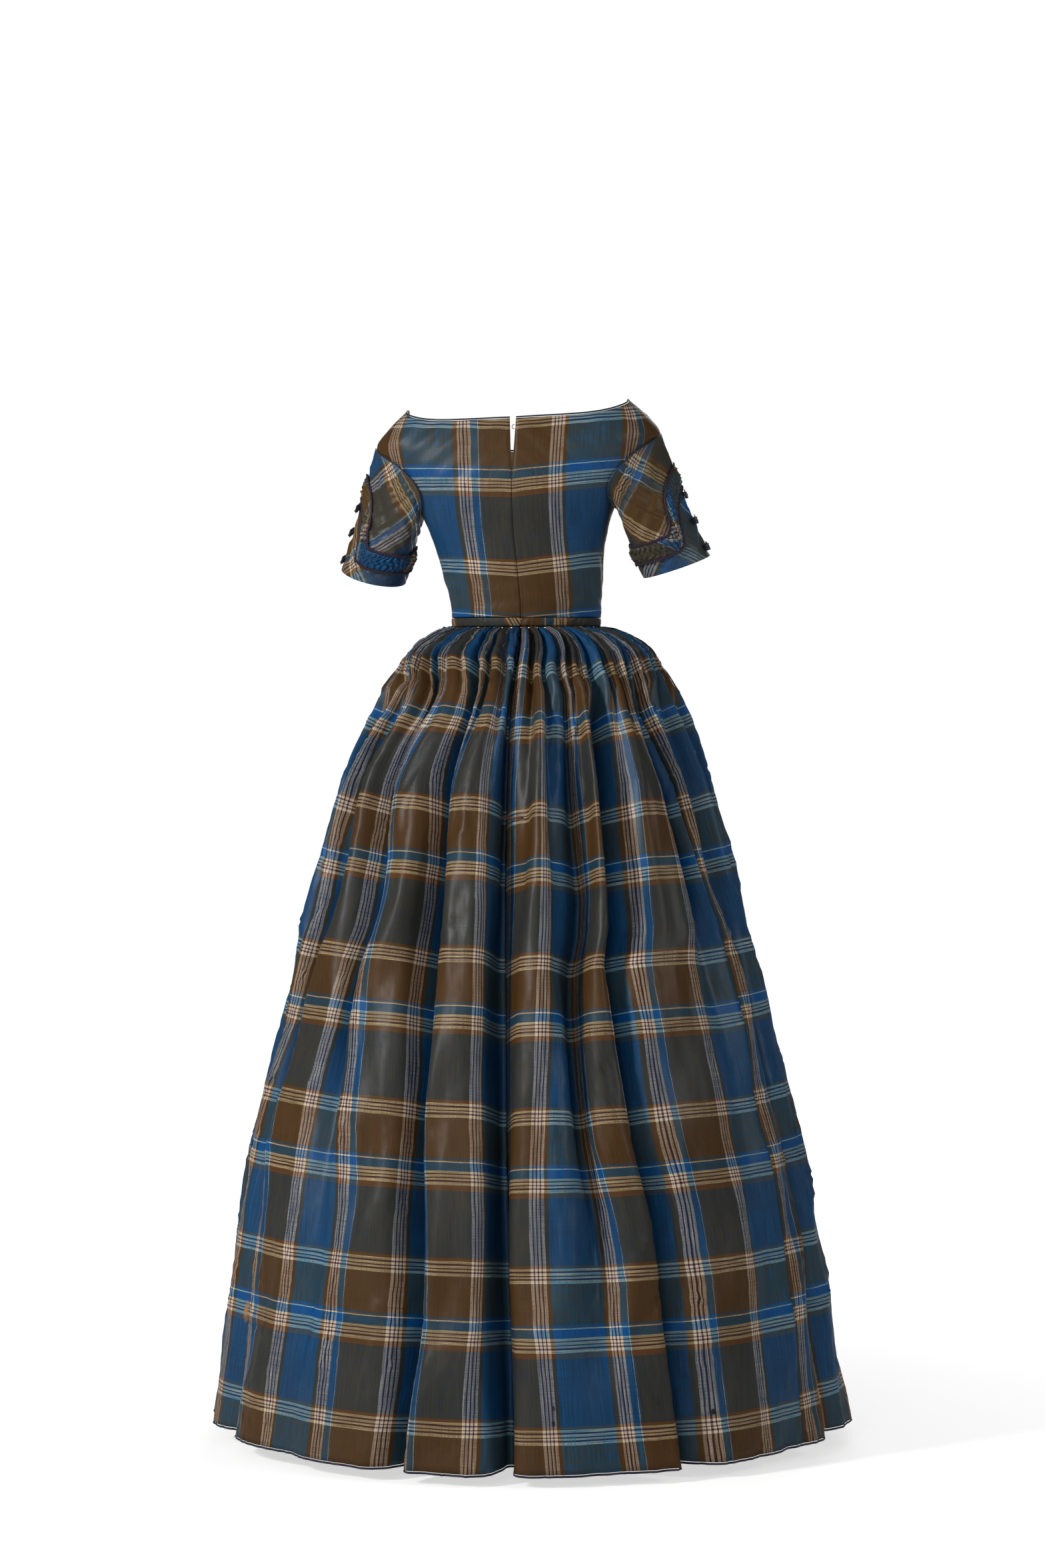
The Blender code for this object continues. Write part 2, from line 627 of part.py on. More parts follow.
def sleeve_points(side, shares):
    """Grid of sleeve points from the armhole to the cuff."""
    ring, normals, off = armhole_ring(side)
    start = pose(ring + normals * SLEEVE_LIFT)
    end = cuff_ring(side)
    under = (1 - np.cos(np.linspace(0, 2 * np.pi, SLEEVE_COLUMNS, endpoint=False)[:, None])) / 2
    under = under**4
    leave = unit(normals * (0.25 + under) + off * (1 - 0.85 * under))
    ease = SLEEVE_EASE * (1 - under) + UNDERARM_EASE * under
    arrive = unit(np.array(CUFFS[side].centre) - start.mean(axis=0))
    first = start + leave * ease
    second = end - arrive * SLEEVE_EASE
    t = np.asarray(shares)[:, None, None]
    return (
        start * (1 - t) ** 3 + 3 * first * t * (1 - t) ** 2 + 3 * second * t**2 * (1 - t) + end * t**3
    )


def sleeve_surface(side):
    """Points, outward normals and lengths above the cuff on the sleeve, which the trimmings lie on."""
    grid = sleeve_points(side, SLEEVE_ROWS)
    normals = grid_normals(grid, closed=True)
    centre = grid.mean(axis=1, keepdims=True)
    normals *= np.sign(np.sum(normals * (grid - centre), axis=(1, 2), keepdims=True))
    steps = np.linalg.norm(np.diff(grid, axis=0), axis=2)
    above = np.concatenate([np.cumsum(steps[::-1], axis=0)[::-1], np.zeros((1, SLEEVE_COLUMNS))])
    return grid, normals, above


def on_sleeve(surface, degrees, height):
    """Points and normals on the sleeve, by the angle round from its outer line and the height above the cuff."""
    grid, normals, above = surface
    points, facing = np.empty((len(degrees), 3)), np.empty((len(degrees), 3))
    for k, (angle, rise) in enumerate(zip(degrees, height)):
        column = angle / 360 * SLEEVE_COLUMNS % SLEEVE_COLUMNS
        low, share = int(column), column % 1
        high = (low + 1) % SLEEVE_COLUMNS
        ends = []
        for line in (low, high):
            order = above[::-1, line]
            ends.append(
                [
                    [np.interp(rise, order, data[::-1, line, axis]) for axis in range(3)]
                    for data in (grid, normals)
                ]
            )
        mixed = np.array(ends[0]) * (1 - share) + np.array(ends[1]) * share
        points[k], facing[k] = mixed[0], mixed[1]
    return points, unit(facing)


def band_heights(degrees, heights):
    turned = np.abs((degrees + 180) % 360 - 180)
    return smooth_curve(BAND_ANGLES, heights, turned)


def station_angles():
    """Angles round the sleeve, closer together near the outer line where the band climbs."""
    share = np.linspace(0, 1, BAND_STATIONS, endpoint=False)
    return 360 * share - 28 * np.sin(2 * np.pi * share)


def braid_line(side, heights):
    """Points along a braid with the sleeve's normals and the directions across the braid, up the sleeve."""
    points, normals = on_sleeve(sleeve_surface(side), station_angles(), band_heights(station_angles(), heights))
    along = unit(np.roll(points, -1, axis=0) - np.roll(points, 1, axis=0))
    across = unit(np.cross(normals, along))
    return points, normals, across * np.sign(across[BAND_STATIONS // 2, 2])


def make_braid(name, side, heights, material, collection):
    points, normals, across = braid_line(side, heights)
    lift = SLEEVE_WALL / 2 + BRAID_THICKNESS / 2 + TRIM_GAP
    corners = diamond(points + normals * lift, across, normals, BRAID_WIDTH, BRAID_THICKNESS)
    make_strand(name, corners, True, material, collection)


def make_band(name, side, silk, collection):
    """Gathered strip between the two braids, puffed along its middle with small ruffles."""
    low, low_normals, low_across = braid_line(side, LOWER_BRAID_HEIGHTS)
    high, high_normals, high_across = braid_line(side, UPPER_BRAID_HEIGHTS)
    margin = BRAID_WIDTH / 2 + 2 * SEAM_GAP
    low, high = low + low_across * margin, high - high_across * margin
    ruffle = BAND_RUFFLE * np.where(np.arange(BAND_STATIONS) % 2, 1.0, -1.0)[:, None]
    normals = np.stack([low_normals, unit(low_normals + high_normals), high_normals])
    puff = np.zeros((3, BAND_STATIONS, 1))
    puff[1] = BAND_PUFF + ruffle
    cloth = np.stack([low, (low + high) / 2, high])
    cloth = cloth + normals * (SLEEVE_WALL / 2 + BAND_WALL / 2 + TRIM_GAP + puff)
    make_cloth(name, cloth, BAND_WALL, True, silk, collection)


def make_bow(name, side, height, silk, collection):
    """Flat bow tied across the outer line of the sleeve, its ends standing off the arm."""
    surface = sleeve_surface(side)
    points, normals = on_sleeve(surface, np.array([0.0, 8.0]), np.array([height, height]))
    centre, normal = points[0], normals[0]
    across = unit(points[1] - points[0])
    across = unit(across - normal * np.dot(across, normal))
    along = np.cross(normal, across)
    lift = SLEEVE_WALL / 2 + BOW_WALL / 2 + SEAM_GAP
    places = np.linspace(-BOW_WIDTH / 2, BOW_WIDTH / 2, len(BOW_SHAPE))
    rows = []
    for edge in (-1, 0, 1):
        rows.append(
            [
                centre + across * place + along * edge * half + normal * (lift + rise)
                for place, half, rise in zip(places, BOW_SHAPE, BOW_RISE)
            ]
        )
    make_cloth(name, np.array(rows), BOW_WALL, False, silk, collection)


def make_sleeves(silk, braid, collection):
    for side in SIDES:
        make_cloth(f"sleeve_{side}", sleeve_points(side, SLEEVE_ROWS), SLEEVE_WALL, True, silk, collection)
        make_band(f"sleeve_band_{side}", side, silk, collection)
        make_braid(f"upper_braid_{side}", side, UPPER_BRAID_HEIGHTS, braid, collection)
        make_braid(f"lower_braid_{side}", side, LOWER_BRAID_HEIGHTS, braid, collection)
        for number, height in enumerate(BOW_HEIGHTS[side], start=1):
            make_bow(f"bow_{side}_{number}", side, height, silk, collection)


def make_armhole_pipings(material, collection):
    for side in SIDES:
        ring, normals, off = armhole_ring(side)
        raised = ring + normals * (BODICE_WALL / 2 + PIPING_RADIUS + PIPING_GAP)
        centres = raised - off * (SLEEVE_WALL / 2 + PIPING_RADIUS + 2 * SEAM_GAP)
        corners = diamond(pose(centres), off, normals, 2 * PIPING_RADIUS, 2 * PIPING_RADIUS)
        make_strand(f"armhole_piping_{side}", corners, True, material, collection)


def make_back_loop(material, collection):
    """Thread loop that stands off the right back edge, across the open top."""
    share = (LOOP_HEIGHT - BODICE_FOOT) / (NECK_HEIGHTS[0] - BODICE_FOOT)
    edge = bodice_points(np.array([back_edge(share)]), np.array([share]))[0]
    turn = np.linspace(-np.pi / 2, np.pi / 2, 7)
    reach = edge[0] * 1.5
    centres = np.stack(
        [
            edge[0] - 2 * SEAM_GAP - LOOP_THREAD / 2 - reach * np.cos(turn) * 0.6,
            np.full(len(turn), edge[1]),
            edge[2] + LOOP_LENGTH / 2 * np.sin(turn),
        ],
        axis=1,
    )
    along = unit(np.gradient(centres, axis=0))
    across = np.broadcast_to([0.0, -1.0, 0.0], centres.shape)
    up = unit(np.cross(along, across))
    corners = diamond(pose(centres), across, up, LOOP_THREAD, LOOP_THREAD)
    make_strand("back_loop", corners, False, material, collection)


def main():
    for old in list(bpy.data.objects):
        bpy.data.objects.remove(old, do_unlink=True)
    dress = bpy.data.collections.new("evening_dress")
    bpy.context.scene.collection.children.link(dress)
    plaid = make_material("plaid_silk", BLUE_SILK, 0.45)
    bias = make_material("bias_silk", BROWN_SILK, 0.45)
    navy = make_material("navy_braid", NAVY_BRAID, 0.8)
    crimson = make_material("picot_braid", CRIMSON_BRAID, 0.8)
    make_skirt(plaid, navy, dress)
    make_bodice(plaid, dress)
    make_waistband(bias, dress)
    make_neck_piping(navy, dress)
    make_sleeves(bias, crimson, dress)
    make_armhole_pipings(navy, dress)
    make_back_loop(navy, dress)


main()
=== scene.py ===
"""Looks of the plaid silk evening dress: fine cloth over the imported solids, its weave, trimmings and wear."""

import math

import bpy
import numpy as np
from mathutils import Euler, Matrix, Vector


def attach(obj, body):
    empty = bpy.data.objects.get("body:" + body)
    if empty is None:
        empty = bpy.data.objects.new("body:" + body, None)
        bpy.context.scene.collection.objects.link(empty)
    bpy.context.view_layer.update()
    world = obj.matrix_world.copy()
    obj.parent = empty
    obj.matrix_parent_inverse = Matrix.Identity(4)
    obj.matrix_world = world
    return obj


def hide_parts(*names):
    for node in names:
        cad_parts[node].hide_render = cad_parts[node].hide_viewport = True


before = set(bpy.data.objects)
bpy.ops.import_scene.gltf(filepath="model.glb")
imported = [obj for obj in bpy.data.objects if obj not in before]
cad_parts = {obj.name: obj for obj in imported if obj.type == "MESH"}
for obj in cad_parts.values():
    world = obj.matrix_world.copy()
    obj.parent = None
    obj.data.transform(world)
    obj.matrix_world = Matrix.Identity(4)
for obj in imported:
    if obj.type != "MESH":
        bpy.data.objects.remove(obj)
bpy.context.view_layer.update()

# Sizes that the cloth shares with its solids, in metres
SKIRT_CLOTH, SKIRT_LENGTH, SKIRT_WIDTHS = 3.42, 1.12, 6
BELL = np.array(
    [
        # drop, side, back, front, sway
        (0.000, 0.0970, 0.0800, 0.0800, 0.000),
        (0.006, 0.1215, 0.1040, 0.0990, 0.003),
        (0.018, 0.1450, 0.1270, 0.1180, 0.005),
        (0.053, 0.1760, 0.1620, 0.1460, 0.005),
        (0.097, 0.2030, 0.1920, 0.1720, 0.004),
        (0.176, 0.2350, 0.2320, 0.2070, 0.002),
        (0.246, 0.2585, 0.2580, 0.2310, 0.001),
        (0.387, 0.2945, 0.2980, 0.2680, 0.000),
        (0.528, 0.3285, 0.3320, 0.3030, 0.000),
        (0.669, 0.3630, 0.3630, 0.3360, 0.000),
        (0.810, 0.3880, 0.3860, 0.3640, 0.002),
        (0.951, 0.4085, 0.4060, 0.3870, 0.004),
        (1.038, 0.4210, 0.4180, 0.4010, 0.006),
    ]
)
# How much lower the hem hangs at the centre back
BACK_DIP = 0.010
FOLD_LEVELS = (0.10, 0.25, 0.50, 0.75, 1.12)
# place on the cloth, depth at the five levels, lean at the waist and hem, strength of the gathers beside it
FOLDS = (
    (-0.600, 0.022, 0.034, 0.034, 0.018, 0.014, -0.20, 0.10, 0.40),
    (-0.425, 0.016, 0.026, 0.026, 0.012, 0.006, -0.20, 0.30, 0.15),
    (-0.225, 0.018, 0.028, 0.040, 0.034, 0.032, 0.20, 0.40, 0.45),
    (-0.005, 0.036, 0.064, 0.060, 0.050, 0.038, -0.35, 0.20, 1.00),
    (0.188, 0.032, 0.056, 0.042, 0.020, 0.004, 0.10, 0.10, 0.80),
    (0.335, 0.030, 0.046, 0.029, 0.026, 0.034, 0.05, -0.70, 0.40),
    (0.530, 0.018, 0.024, 0.012, 0.006, 0.004, 0.10, 0.10, 0.50),
    (0.665, 0.026, 0.036, 0.030, 0.020, 0.016, -0.25, -0.10, 1.00),
    (0.850, 0.028, 0.042, 0.038, 0.034, 0.036, 0.30, 0.20, 1.00),
    (1.015, 0.022, 0.030, 0.028, 0.018, 0.014, 0.15, 0.20, 1.00),
    (1.180, 0.028, 0.044, 0.046, 0.040, 0.040, -0.35, -0.20, 1.00),
    (1.365, 0.024, 0.032, 0.024, 0.012, 0.012, 0.10, 0.10, 1.00),
    (1.530, 0.028, 0.046, 0.044, 0.036, 0.034, 0.35, 0.20, 1.00),
    (1.715, 0.022, 0.030, 0.028, 0.024, 0.028, -0.15, 0.10, 1.00),
    (1.885, 0.028, 0.044, 0.042, 0.030, 0.024, 0.30, 0.30, 1.00),
    (2.045, 0.022, 0.030, 0.026, 0.016, 0.014, -0.10, 0.10, 1.00),
    (2.225, 0.028, 0.046, 0.046, 0.042, 0.042, -0.35, -0.10, 1.00),
    (2.385, 0.024, 0.032, 0.026, 0.014, 0.012, 0.20, 0.20, 1.00),
    (2.545, 0.026, 0.040, 0.038, 0.032, 0.034, 0.15, 0.10, 1.00),
    (2.690, 0.022, 0.030, 0.028, 0.020, 0.018, -0.20, -0.20, 1.00),
)
GATHERS = np.array(
    [
        # down, small, deepest
        (0.000, 0.0042, 0.0042),
        (0.030, 0.0100, 0.0105),
        (0.080, 0.0190, 0.0240),
        (0.150, 0.0170, 0.0460),
        (0.280, 0.0080, 0.0720),
        (0.420, 0.0022, 0.0800),
        (0.560, 0.0000, 0.0800),
        (1.120, 0.0000, 0.0800),
    ]
)
FOLD_STEEPNESS, VALLEY, RIDGE = 0.975, 0.008, 0.016
TORSO = np.array(
    [
        # height, side, back, front, squareness
        (0.000, 0.0970, 0.0800, 0.0800, 2.00),
        (0.035, 0.0995, 0.0820, 0.0860, 2.05),
        (0.070, 0.1047, 0.0860, 0.0970, 2.10),
        (0.105, 0.1103, 0.0900, 0.1080, 2.20),
        (0.140, 0.1215, 0.0935, 0.1160, 2.30),
        (0.160, 0.1300, 0.0945, 0.1180, 2.35),
        (0.190, 0.1490, 0.0940, 0.1150, 2.40),
        (0.225, 0.1765, 0.0890, 0.1030, 2.40),
        (0.246, 0.1870, 0.0840, 0.0920, 2.35),
        (0.270, 0.1700, 0.0770, 0.0790, 2.25),
        (0.300, 0.1370, 0.0680, 0.0680, 2.10),
    ]
)
BODICE_FOOT = 0.0125
NECK_ANGLES = (0, 35, 70, 90, 115, 150, 180)
NECK_HEIGHTS = (0.2710, 0.2735, 0.2855, 0.2915, 0.2790, 0.2480, 0.2360)
ARMHOLE = np.array(
    [
        # share of the height, back edge, front edge
        (0.500, 90.0, 90.0),
        (0.545, 69.0, 111.0),
        (0.600, 59.5, 120.5),
        (0.667, 56.0, 124.0),
        (0.730, 58.0, 122.0),
        (0.790, 67.0, 113.0),
        (0.836, 90.0, 90.0),
    ]
)
LEAN, SHOULDER_TILT, POSE_HEIGHT = -0.0110, 0.046, 0.170
# Each cuff's middle, with its half width outwards and its half width towards the back
CUFFS = {
    "right": ((0.1985, 0.004, 0.0800), (0.0430, 0.004, 0.0140), (-0.004, -0.0430, -0.0070)),
    "left": ((-0.2060, 0.024, 0.0690), (-0.0425, 0.006, 0.0110), (-0.004, -0.0440, -0.0110)),
}
SIDES = {"right": 1, "left": -1}
SLEEVE_LIFT, SLEEVE_EASE, UNDERARM_EASE = 0.0019, 0.026, 0.010
# Heights of the two braids above the cuff, by the degrees from the sleeve's outer side
BAND_ANGLES = (0, 14, 28, 40, 50, 62, 80, 120, 180)
UPPER_BRAID = (0.130, 0.117, 0.101, 0.084, 0.063, 0.049, 0.046, 0.045, 0.045)
LOWER_BRAID = (0.098, 0.083, 0.064, 0.043, 0.027, 0.022, 0.020, 0.020, 0.020)
BOW_HEIGHTS = {"right": (0.086, 0.050, 0.012), "left": (0.085, 0.051, 0.012)}
LOOP_HEIGHT = 0.2600

# Walls of the cloths that show, and the gap between two sewn edges
SKIRT_WALL, BODICE_WALL, SLEEVE_WALL, BAND_WALL, WAISTBAND_WALL = 0.0005, 0.0007, 0.0006, 0.0005, 0.0011
SEAM_GAP = 0.0003

# The skirt's softer relief: heights of its waves, and the small tucks under the waistband
WOBBLE, BILLOW, CREASE, CRINKLE = 0.0040, 0.0022, 0.0009, 0.00022
# wavelength, height, seed
SHARP_CREASES = ((0.055, 0.0026, 51), (0.030, 0.0015, 52))
TUCK_SPACING, TUCK_HEIGHT, SEWN_MARGIN = 0.0262, 0.0012, 0.035

# The four darts: place at the waist, lean, and height of the point
DARTS = ((-0.036, -0.16, 0.120), (-0.062, -0.26, 0.105), (0.036, 0.16, 0.120), (0.062, 0.26, 0.105))
# The sleeve's grid: places round it, and rows as shares of the way to the cuff, closest at the armhole
SLEEVE_FINE = 150
SLEEVE_SHARES = np.concatenate([np.linspace(0, 0.12, 14)[:-1], np.linspace(0.12, 1, 64)])
BRAID_POINTS, PICOT_SPACING, POINTS_A_PICOT = 330, 0.0033, 9
CORD_RADIUS = 0.0011
# How far the trimmings lie off the surface or the edge that they follow
BRAID_LIFT, BOW_LIFT, NECK_CORD_RISE, HEM_BRAID_DROP = 0.0025, 0.0014, 0.0018, 0.0021
ARMHOLE_CORD_OUT, ARMHOLE_CORD_BACK = 0.0033, 0.0023
# Where the bodice's plaid lies: the weft at the waist line and its stretch, then for each back half the tilt
# at the three heights and the warp at the closing
WEFT_AT_WAIST, WEFT_STRETCH, TILT_HEIGHTS = 0.1675, 1.02, (0.01, 0.09, 0.24)
BACK_PLAID = {"right": ((0.11, 0.12, 0.05), 0.047), "left": ((0.09, 0.09, 0.08), 0.077)}


# General curves

def smooth_curve(knots, values, at):
    knots, values = np.asarray(knots, float), np.asarray(values, float)
    slope = np.gradient(values, knots)
    at = np.clip(at, knots[0], knots[-1])
    i = np.clip(np.searchsorted(knots, at, side="right") - 1, 0, len(knots) - 2)
    step = knots[i + 1] - knots[i]
    t = (at - knots[i]) / step
    return (
        values[i] * (1 + 2 * t) * (1 - t) ** 2
        + slope[i] * step * t * (1 - t) ** 2
        + values[i + 1] * t**2 * (3 - 2 * t)
        - slope[i + 1] * step * t**2 * (1 - t)
    )


def column(table, number, at):
    return smooth_curve(table[:, 0], table[:, number], at)


def unit(vectors):
    return vectors / np.maximum(np.linalg.norm(vectors, axis=-1, keepdims=True), 1e-12)


def lengths_along(line):
    return np.concatenate([[0], np.cumsum(np.linalg.norm(np.diff(line, axis=0), axis=1))])


def lengths_across(grid):
    steps = np.linalg.norm(np.diff(grid, axis=1), axis=-1).cumsum(1)
    return np.concatenate([np.zeros((len(grid), 1)), steps], axis=1)


def read_along(wanted, length, rows):
    """Rows of numbers that belong to the given lengths, read at the wanted ones."""
    return np.stack([np.interp(wanted, length, each) for each in rows.T], axis=1)


def ease(low, high, at):
    t = np.clip((at - low) / (high - low), 0, 1)
    return t * t * (3 - 2 * t)


def ripple(across, down, wave_across, wave_down, seed, terms=7):
    """Uneven waves, about 1 high, with the given wavelengths in metres."""
    local = np.random.default_rng(seed)
    total = np.zeros(np.broadcast(across, down).shape)
    for _ in range(terms):
        a, b = local.normal(1, 0.35, 2)
        turn = local.uniform(-0.35, 0.35)
        phase = local.uniform(0, 2 * np.pi)
        total = total + np.sin(
            2 * np.pi * (a * (across + turn * down) / wave_across + b * down / wave_down) + phase
        )
    return total / math.sqrt(terms)


def grid_normals(points, closed):
    if closed:
        across = np.roll(points, -1, axis=1) - np.roll(points, 1, axis=1)
    else:
        across = np.gradient(points, axis=1)
    return unit(np.cross(across, np.gradient(points, axis=0)))


# Making meshes

def finish_piece(name, mesh, material, wall=None, lining=None):
    piece = bpy.data.objects.new(name, mesh)
    bpy.context.scene.collection.objects.link(piece)
    mesh.materials.append(material)
    mesh.shade_smooth()
    if wall:
        modifier = piece.modifiers.new("cloth", "SOLIDIFY")
        modifier.thickness, modifier.offset, modifier.use_rim = wall, 0, True
        if lining:
            mesh.materials.append(lining)
            modifier.material_offset = 1
        with bpy.context.temp_override(object=piece, active_object=piece, selected_objects=[piece]):
            bpy.ops.object.modifier_apply(modifier=modifier.name)
    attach(piece, "root")
    return piece


def sheet_mesh(name, points, cloth, closed, material, wall, lining=None):
    """A sheet of cloth from a grid of points and the place of each on the cloth, in metres."""
    rows, columns = points.shape[:2]
    spans = columns if closed else columns - 1
    row, col = np.meshgrid(np.arange(rows - 1), np.arange(spans), indexing="ij")
    row, col = row.ravel(), col.ravel()
    following = (col + 1) % columns
    upper, lower = row * columns, (row + 1) * columns
    corners = [upper + col, lower + col, lower + following, upper + following]
    places = [cloth[row, col], cloth[row + 1, col], cloth[row + 1, col + 1], cloth[row, col + 1]]
    mesh = bpy.data.meshes.new(name)
    mesh.from_pydata(points.reshape(-1, 3).tolist(), [], np.stack(corners, axis=1).tolist())
    layer = mesh.uv_layers.new(name="cloth")
    layer.data.foreach_set("uv", np.stack(places, axis=1).reshape(-1).astype(np.float32))
    return finish_piece(name, mesh, material, wall, lining)


# The skirt's folds

def all_folds():
    """Every large fold, with two small gathers spread between it and the next."""
    large = sorted(FOLDS, key=lambda fold: fold[0] % SKIRT_CLOTH)
    folds = []
    for fold, following in zip(large, large[1:] + large[:1]):
        gap = (following[0] - fold[0]) % SKIRT_CLOTH
        for k in range(3):
            folds.append(((fold[0] + gap * k / 3) % SKIRT_CLOTH, fold, k == 0))
    return sorted(folds, key=lambda row: row[0])


ALL_FOLDS = all_folds()
FINE_CLOTH = np.linspace(0, SKIRT_CLOTH, 1711)


def fold_profile(distance, depth, narrowest):
    width = np.maximum(depth / FOLD_STEEPNESS + VALLEY / 2, narrowest)
    bottom, ridge = np.minimum(VALLEY, width / 2), np.minimum(RIDGE, 0.8 * width)
    steep = np.clip(distance, bottom, width - ridge) - bottom / 2
    turn = np.clip(distance - (width - ridge), 0, 2 * ridge)
    run = np.where(distance < bottom, distance**2 / (2 * bottom), steep + turn - turn**2 / (4 * ridge))
    return depth * np.clip(1 - run / (width - bottom / 2), 0, 1)


def summed_folds(down, share, cloth):
    narrowest = np.interp(down, (0, 0.5), (0.006, 0.045))
    small, deepest = column(GATHERS, 1, down), column(GATHERS, 2, down)
    inward, lean = np.zeros_like(cloth), np.zeros_like(cloth)
    for place, fold, is_large in ALL_FOLDS:
        own = smooth_curve(FOLD_LEVELS, fold[1:6], down) if is_large else small * fold[8]
        depth = min(share * own, deepest)
        if depth < 1e-5:
            continue
        distance = np.abs((cloth - place + SKIRT_CLOTH / 2) % SKIRT_CLOTH - SKIRT_CLOTH / 2)
        pulse = fold_profile(distance, depth, narrowest)
        inward += pulse
        if is_large:
            lean += pulse * np.interp(down / SKIRT_LENGTH, (0, 1), fold[6:8])
    return inward, lean


def folded_cloth(down, share):
    """Inward offset and lean all round, with the highest ridge between large folds on the bell."""
    inward, lean = summed_folds(down, share, FINE_CLOTH)
    large = sorted(fold[0] % SKIRT_CLOTH for fold in FOLDS)
    crests, heights = [], []
    for start, end in zip(large, large[1:] + [large[0] + SKIRT_CLOTH]):
        between = np.linspace(start, end, 61)
        depths = np.interp(between, FINE_CLOTH, inward, period=SKIRT_CLOTH)
        crests.append(between[np.argmin(depths)] % SKIRT_CLOTH)
        heights.append(depths.min())
    order = np.argsort(crests)
    crests, heights = np.array(crests)[order], np.array(heights)[order]
    return inward - np.interp(FINE_CLOTH, crests, heights, period=SKIRT_CLOTH), lean


def bell_drop(down):
    drops = np.linspace(0, BELL[-1, 0], 400)
    run = np.concatenate([[0], np.cumsum(np.hypot(np.diff(drops), np.diff(column(BELL, 1, drops))))])
    return np.interp(down / SKIRT_LENGTH * run[-1], run, drops)


def bell_ring(drop):
    angles = np.linspace(0, 2 * np.pi, 1441)
    side, back, front = (column(BELL, number, drop) for number in (1, 2, 3))
    depth = np.where(np.cos(angles) > 0, back, front)
    ring = np.stack([side * np.sin(angles), -depth * np.cos(angles)], axis=1)
    outward = unit(np.stack([depth * np.sin(angles), -side * np.cos(angles)], axis=1))
    return ring, outward, lengths_along(ring)


def taken_lengths(down, girth):
    """The share of the folds' depth at one distance down, and the way round that the cloth then takes up."""

    def run(share):
        inward, _ = folded_cloth(down, share)
        slope = np.clip(np.abs(np.gradient(inward, FINE_CLOTH)), 0, 0.985)
        steps = np.sqrt(1 - slope**2)
        return np.concatenate([[0], np.cumsum((steps[1:] + steps[:-1]) / 2 * np.diff(FINE_CLOTH))])

    low, high = 0.2, 2.2
    for _ in range(12):
        share = (low + high) / 2
        low, high = (share, high) if run(share)[-1] > girth else (low, share)
    taken = run(share)
    inward, lean = folded_cloth(down, share)
    return inward, lean, taken * girth / taken[-1]


# The folds are worked out at these distances down, and taken in proportion between them
NEAR_LEVELS, FAR_LEVELS = np.linspace(0.022, 0.32, 20), np.linspace(0.36, SKIRT_LENGTH, 18)
LEVELS = np.concatenate([[0, 0.006, 0.013], NEAR_LEVELS, FAR_LEVELS])
LEVEL_FOLDS = np.array([taken_lengths(level, bell_ring(bell_drop(level))[2][-1]) for level in LEVELS])


def skirt_surface(cloth, down):
    """Points of the folded cloth, with its soft creases, for places on the cloth and distances down."""

    def waves(across, along, seed):
        return ripple(cloth[None, :], down[:, None], across, along, seed)

    points = np.empty((len(down), len(cloth), 3))
    level_number = np.interp(down, LEVELS, np.arange(len(LEVELS)))
    wobble = waves(0.34, 0.55, 11) * WOBBLE
    billow = waves(0.115, 0.42, 5) * BILLOW
    creases = waves(0.041, 0.26, 23)
    creases = np.sign(creases) * np.abs(creases) ** 1.6 * CREASE
    crinkle = waves(0.017, 0.034, 31) * CRINKLE
    for size, height, seed in SHARP_CREASES:
        crease = np.abs(waves(size, size * 1.5, seed))
        crinkle = crinkle + height * np.exp(-crease * 4.5) * waves(0.19, 0.21, seed + 9)
    drift = waves(0.22, 0.30, 37) * 0.9
    tucks = np.sin(cloth[None, :] * 2 * np.pi / TUCK_SPACING + drift)
    tucks = tucks - 0.55 * np.cos(cloth[None, :] * 4 * np.pi / TUCK_SPACING + drift)
    tucks = tucks * TUCK_HEIGHT * (ease(0.0, 0.006, down) * (1 - ease(0.035, 0.130, down)))[:, None]
    # Creases don't repeat round the cloth, so they fade out where its two ends are sewn at the centre back
    from_seam = np.minimum(cloth % SKIRT_CLOTH, -cloth % SKIRT_CLOTH)
    sewn = ease(0.0, SEWN_MARGIN, from_seam)
    reliefs = (wobble, billow, creases, crinkle, tucks)
    wobble, billow, creases, crinkle, tucks = (sewn * relief for relief in reliefs)
    for row, (level, number) in enumerate(zip(down, level_number)):
        low = int(min(number, len(LEVELS) - 2))
        share = number - low
        inward, lean, taken = LEVEL_FOLDS[low] * (1 - share) + LEVEL_FOLDS[low + 1] * share
        folds = (inward, lean, taken)
        inward, lean, taken = (np.interp(cloth % SKIRT_CLOTH, FINE_CLOTH, each) for each in folds)
        drop = bell_drop(level)
        ring, outward, lengths = bell_ring(drop)
        rise = column(BELL, 1, drop + 0.002) - column(BELL, 1, drop)
        lift = max(rise, 0) / math.hypot(rise, 0.002)
        fullness = ease(0.04, 0.35, level)
        gather = ease(0.0, 0.03, level) * (1 - ease(0.10, 0.30, level))
        place = (taken + lean + wobble[row] * fullness) % lengths[-1]
        soft = (billow[row] + creases[row]) * fullness * np.clip(1 - inward / 0.03, 0.25, 1)
        soft = soft + crinkle[row] + creases[row] * 0.9 * gather
        inward = inward - soft - tucks[row]
        for axis in (0, 1):
            edge, away = (np.interp(place, lengths, line[:, axis]) for line in (ring, outward))
            points[row, :, axis] = edge - inward * math.sqrt(1 - lift**2) * away
        points[row, :, 0] += column(BELL, 4, drop)
        back = np.clip(-points[row, :, 1] / column(BELL, 2, drop), 0, 1)
        points[row, :, 2] = -drop - inward * lift - BACK_DIP * (level / SKIRT_LENGTH * back) ** 2
    return points


# The bodice's figure

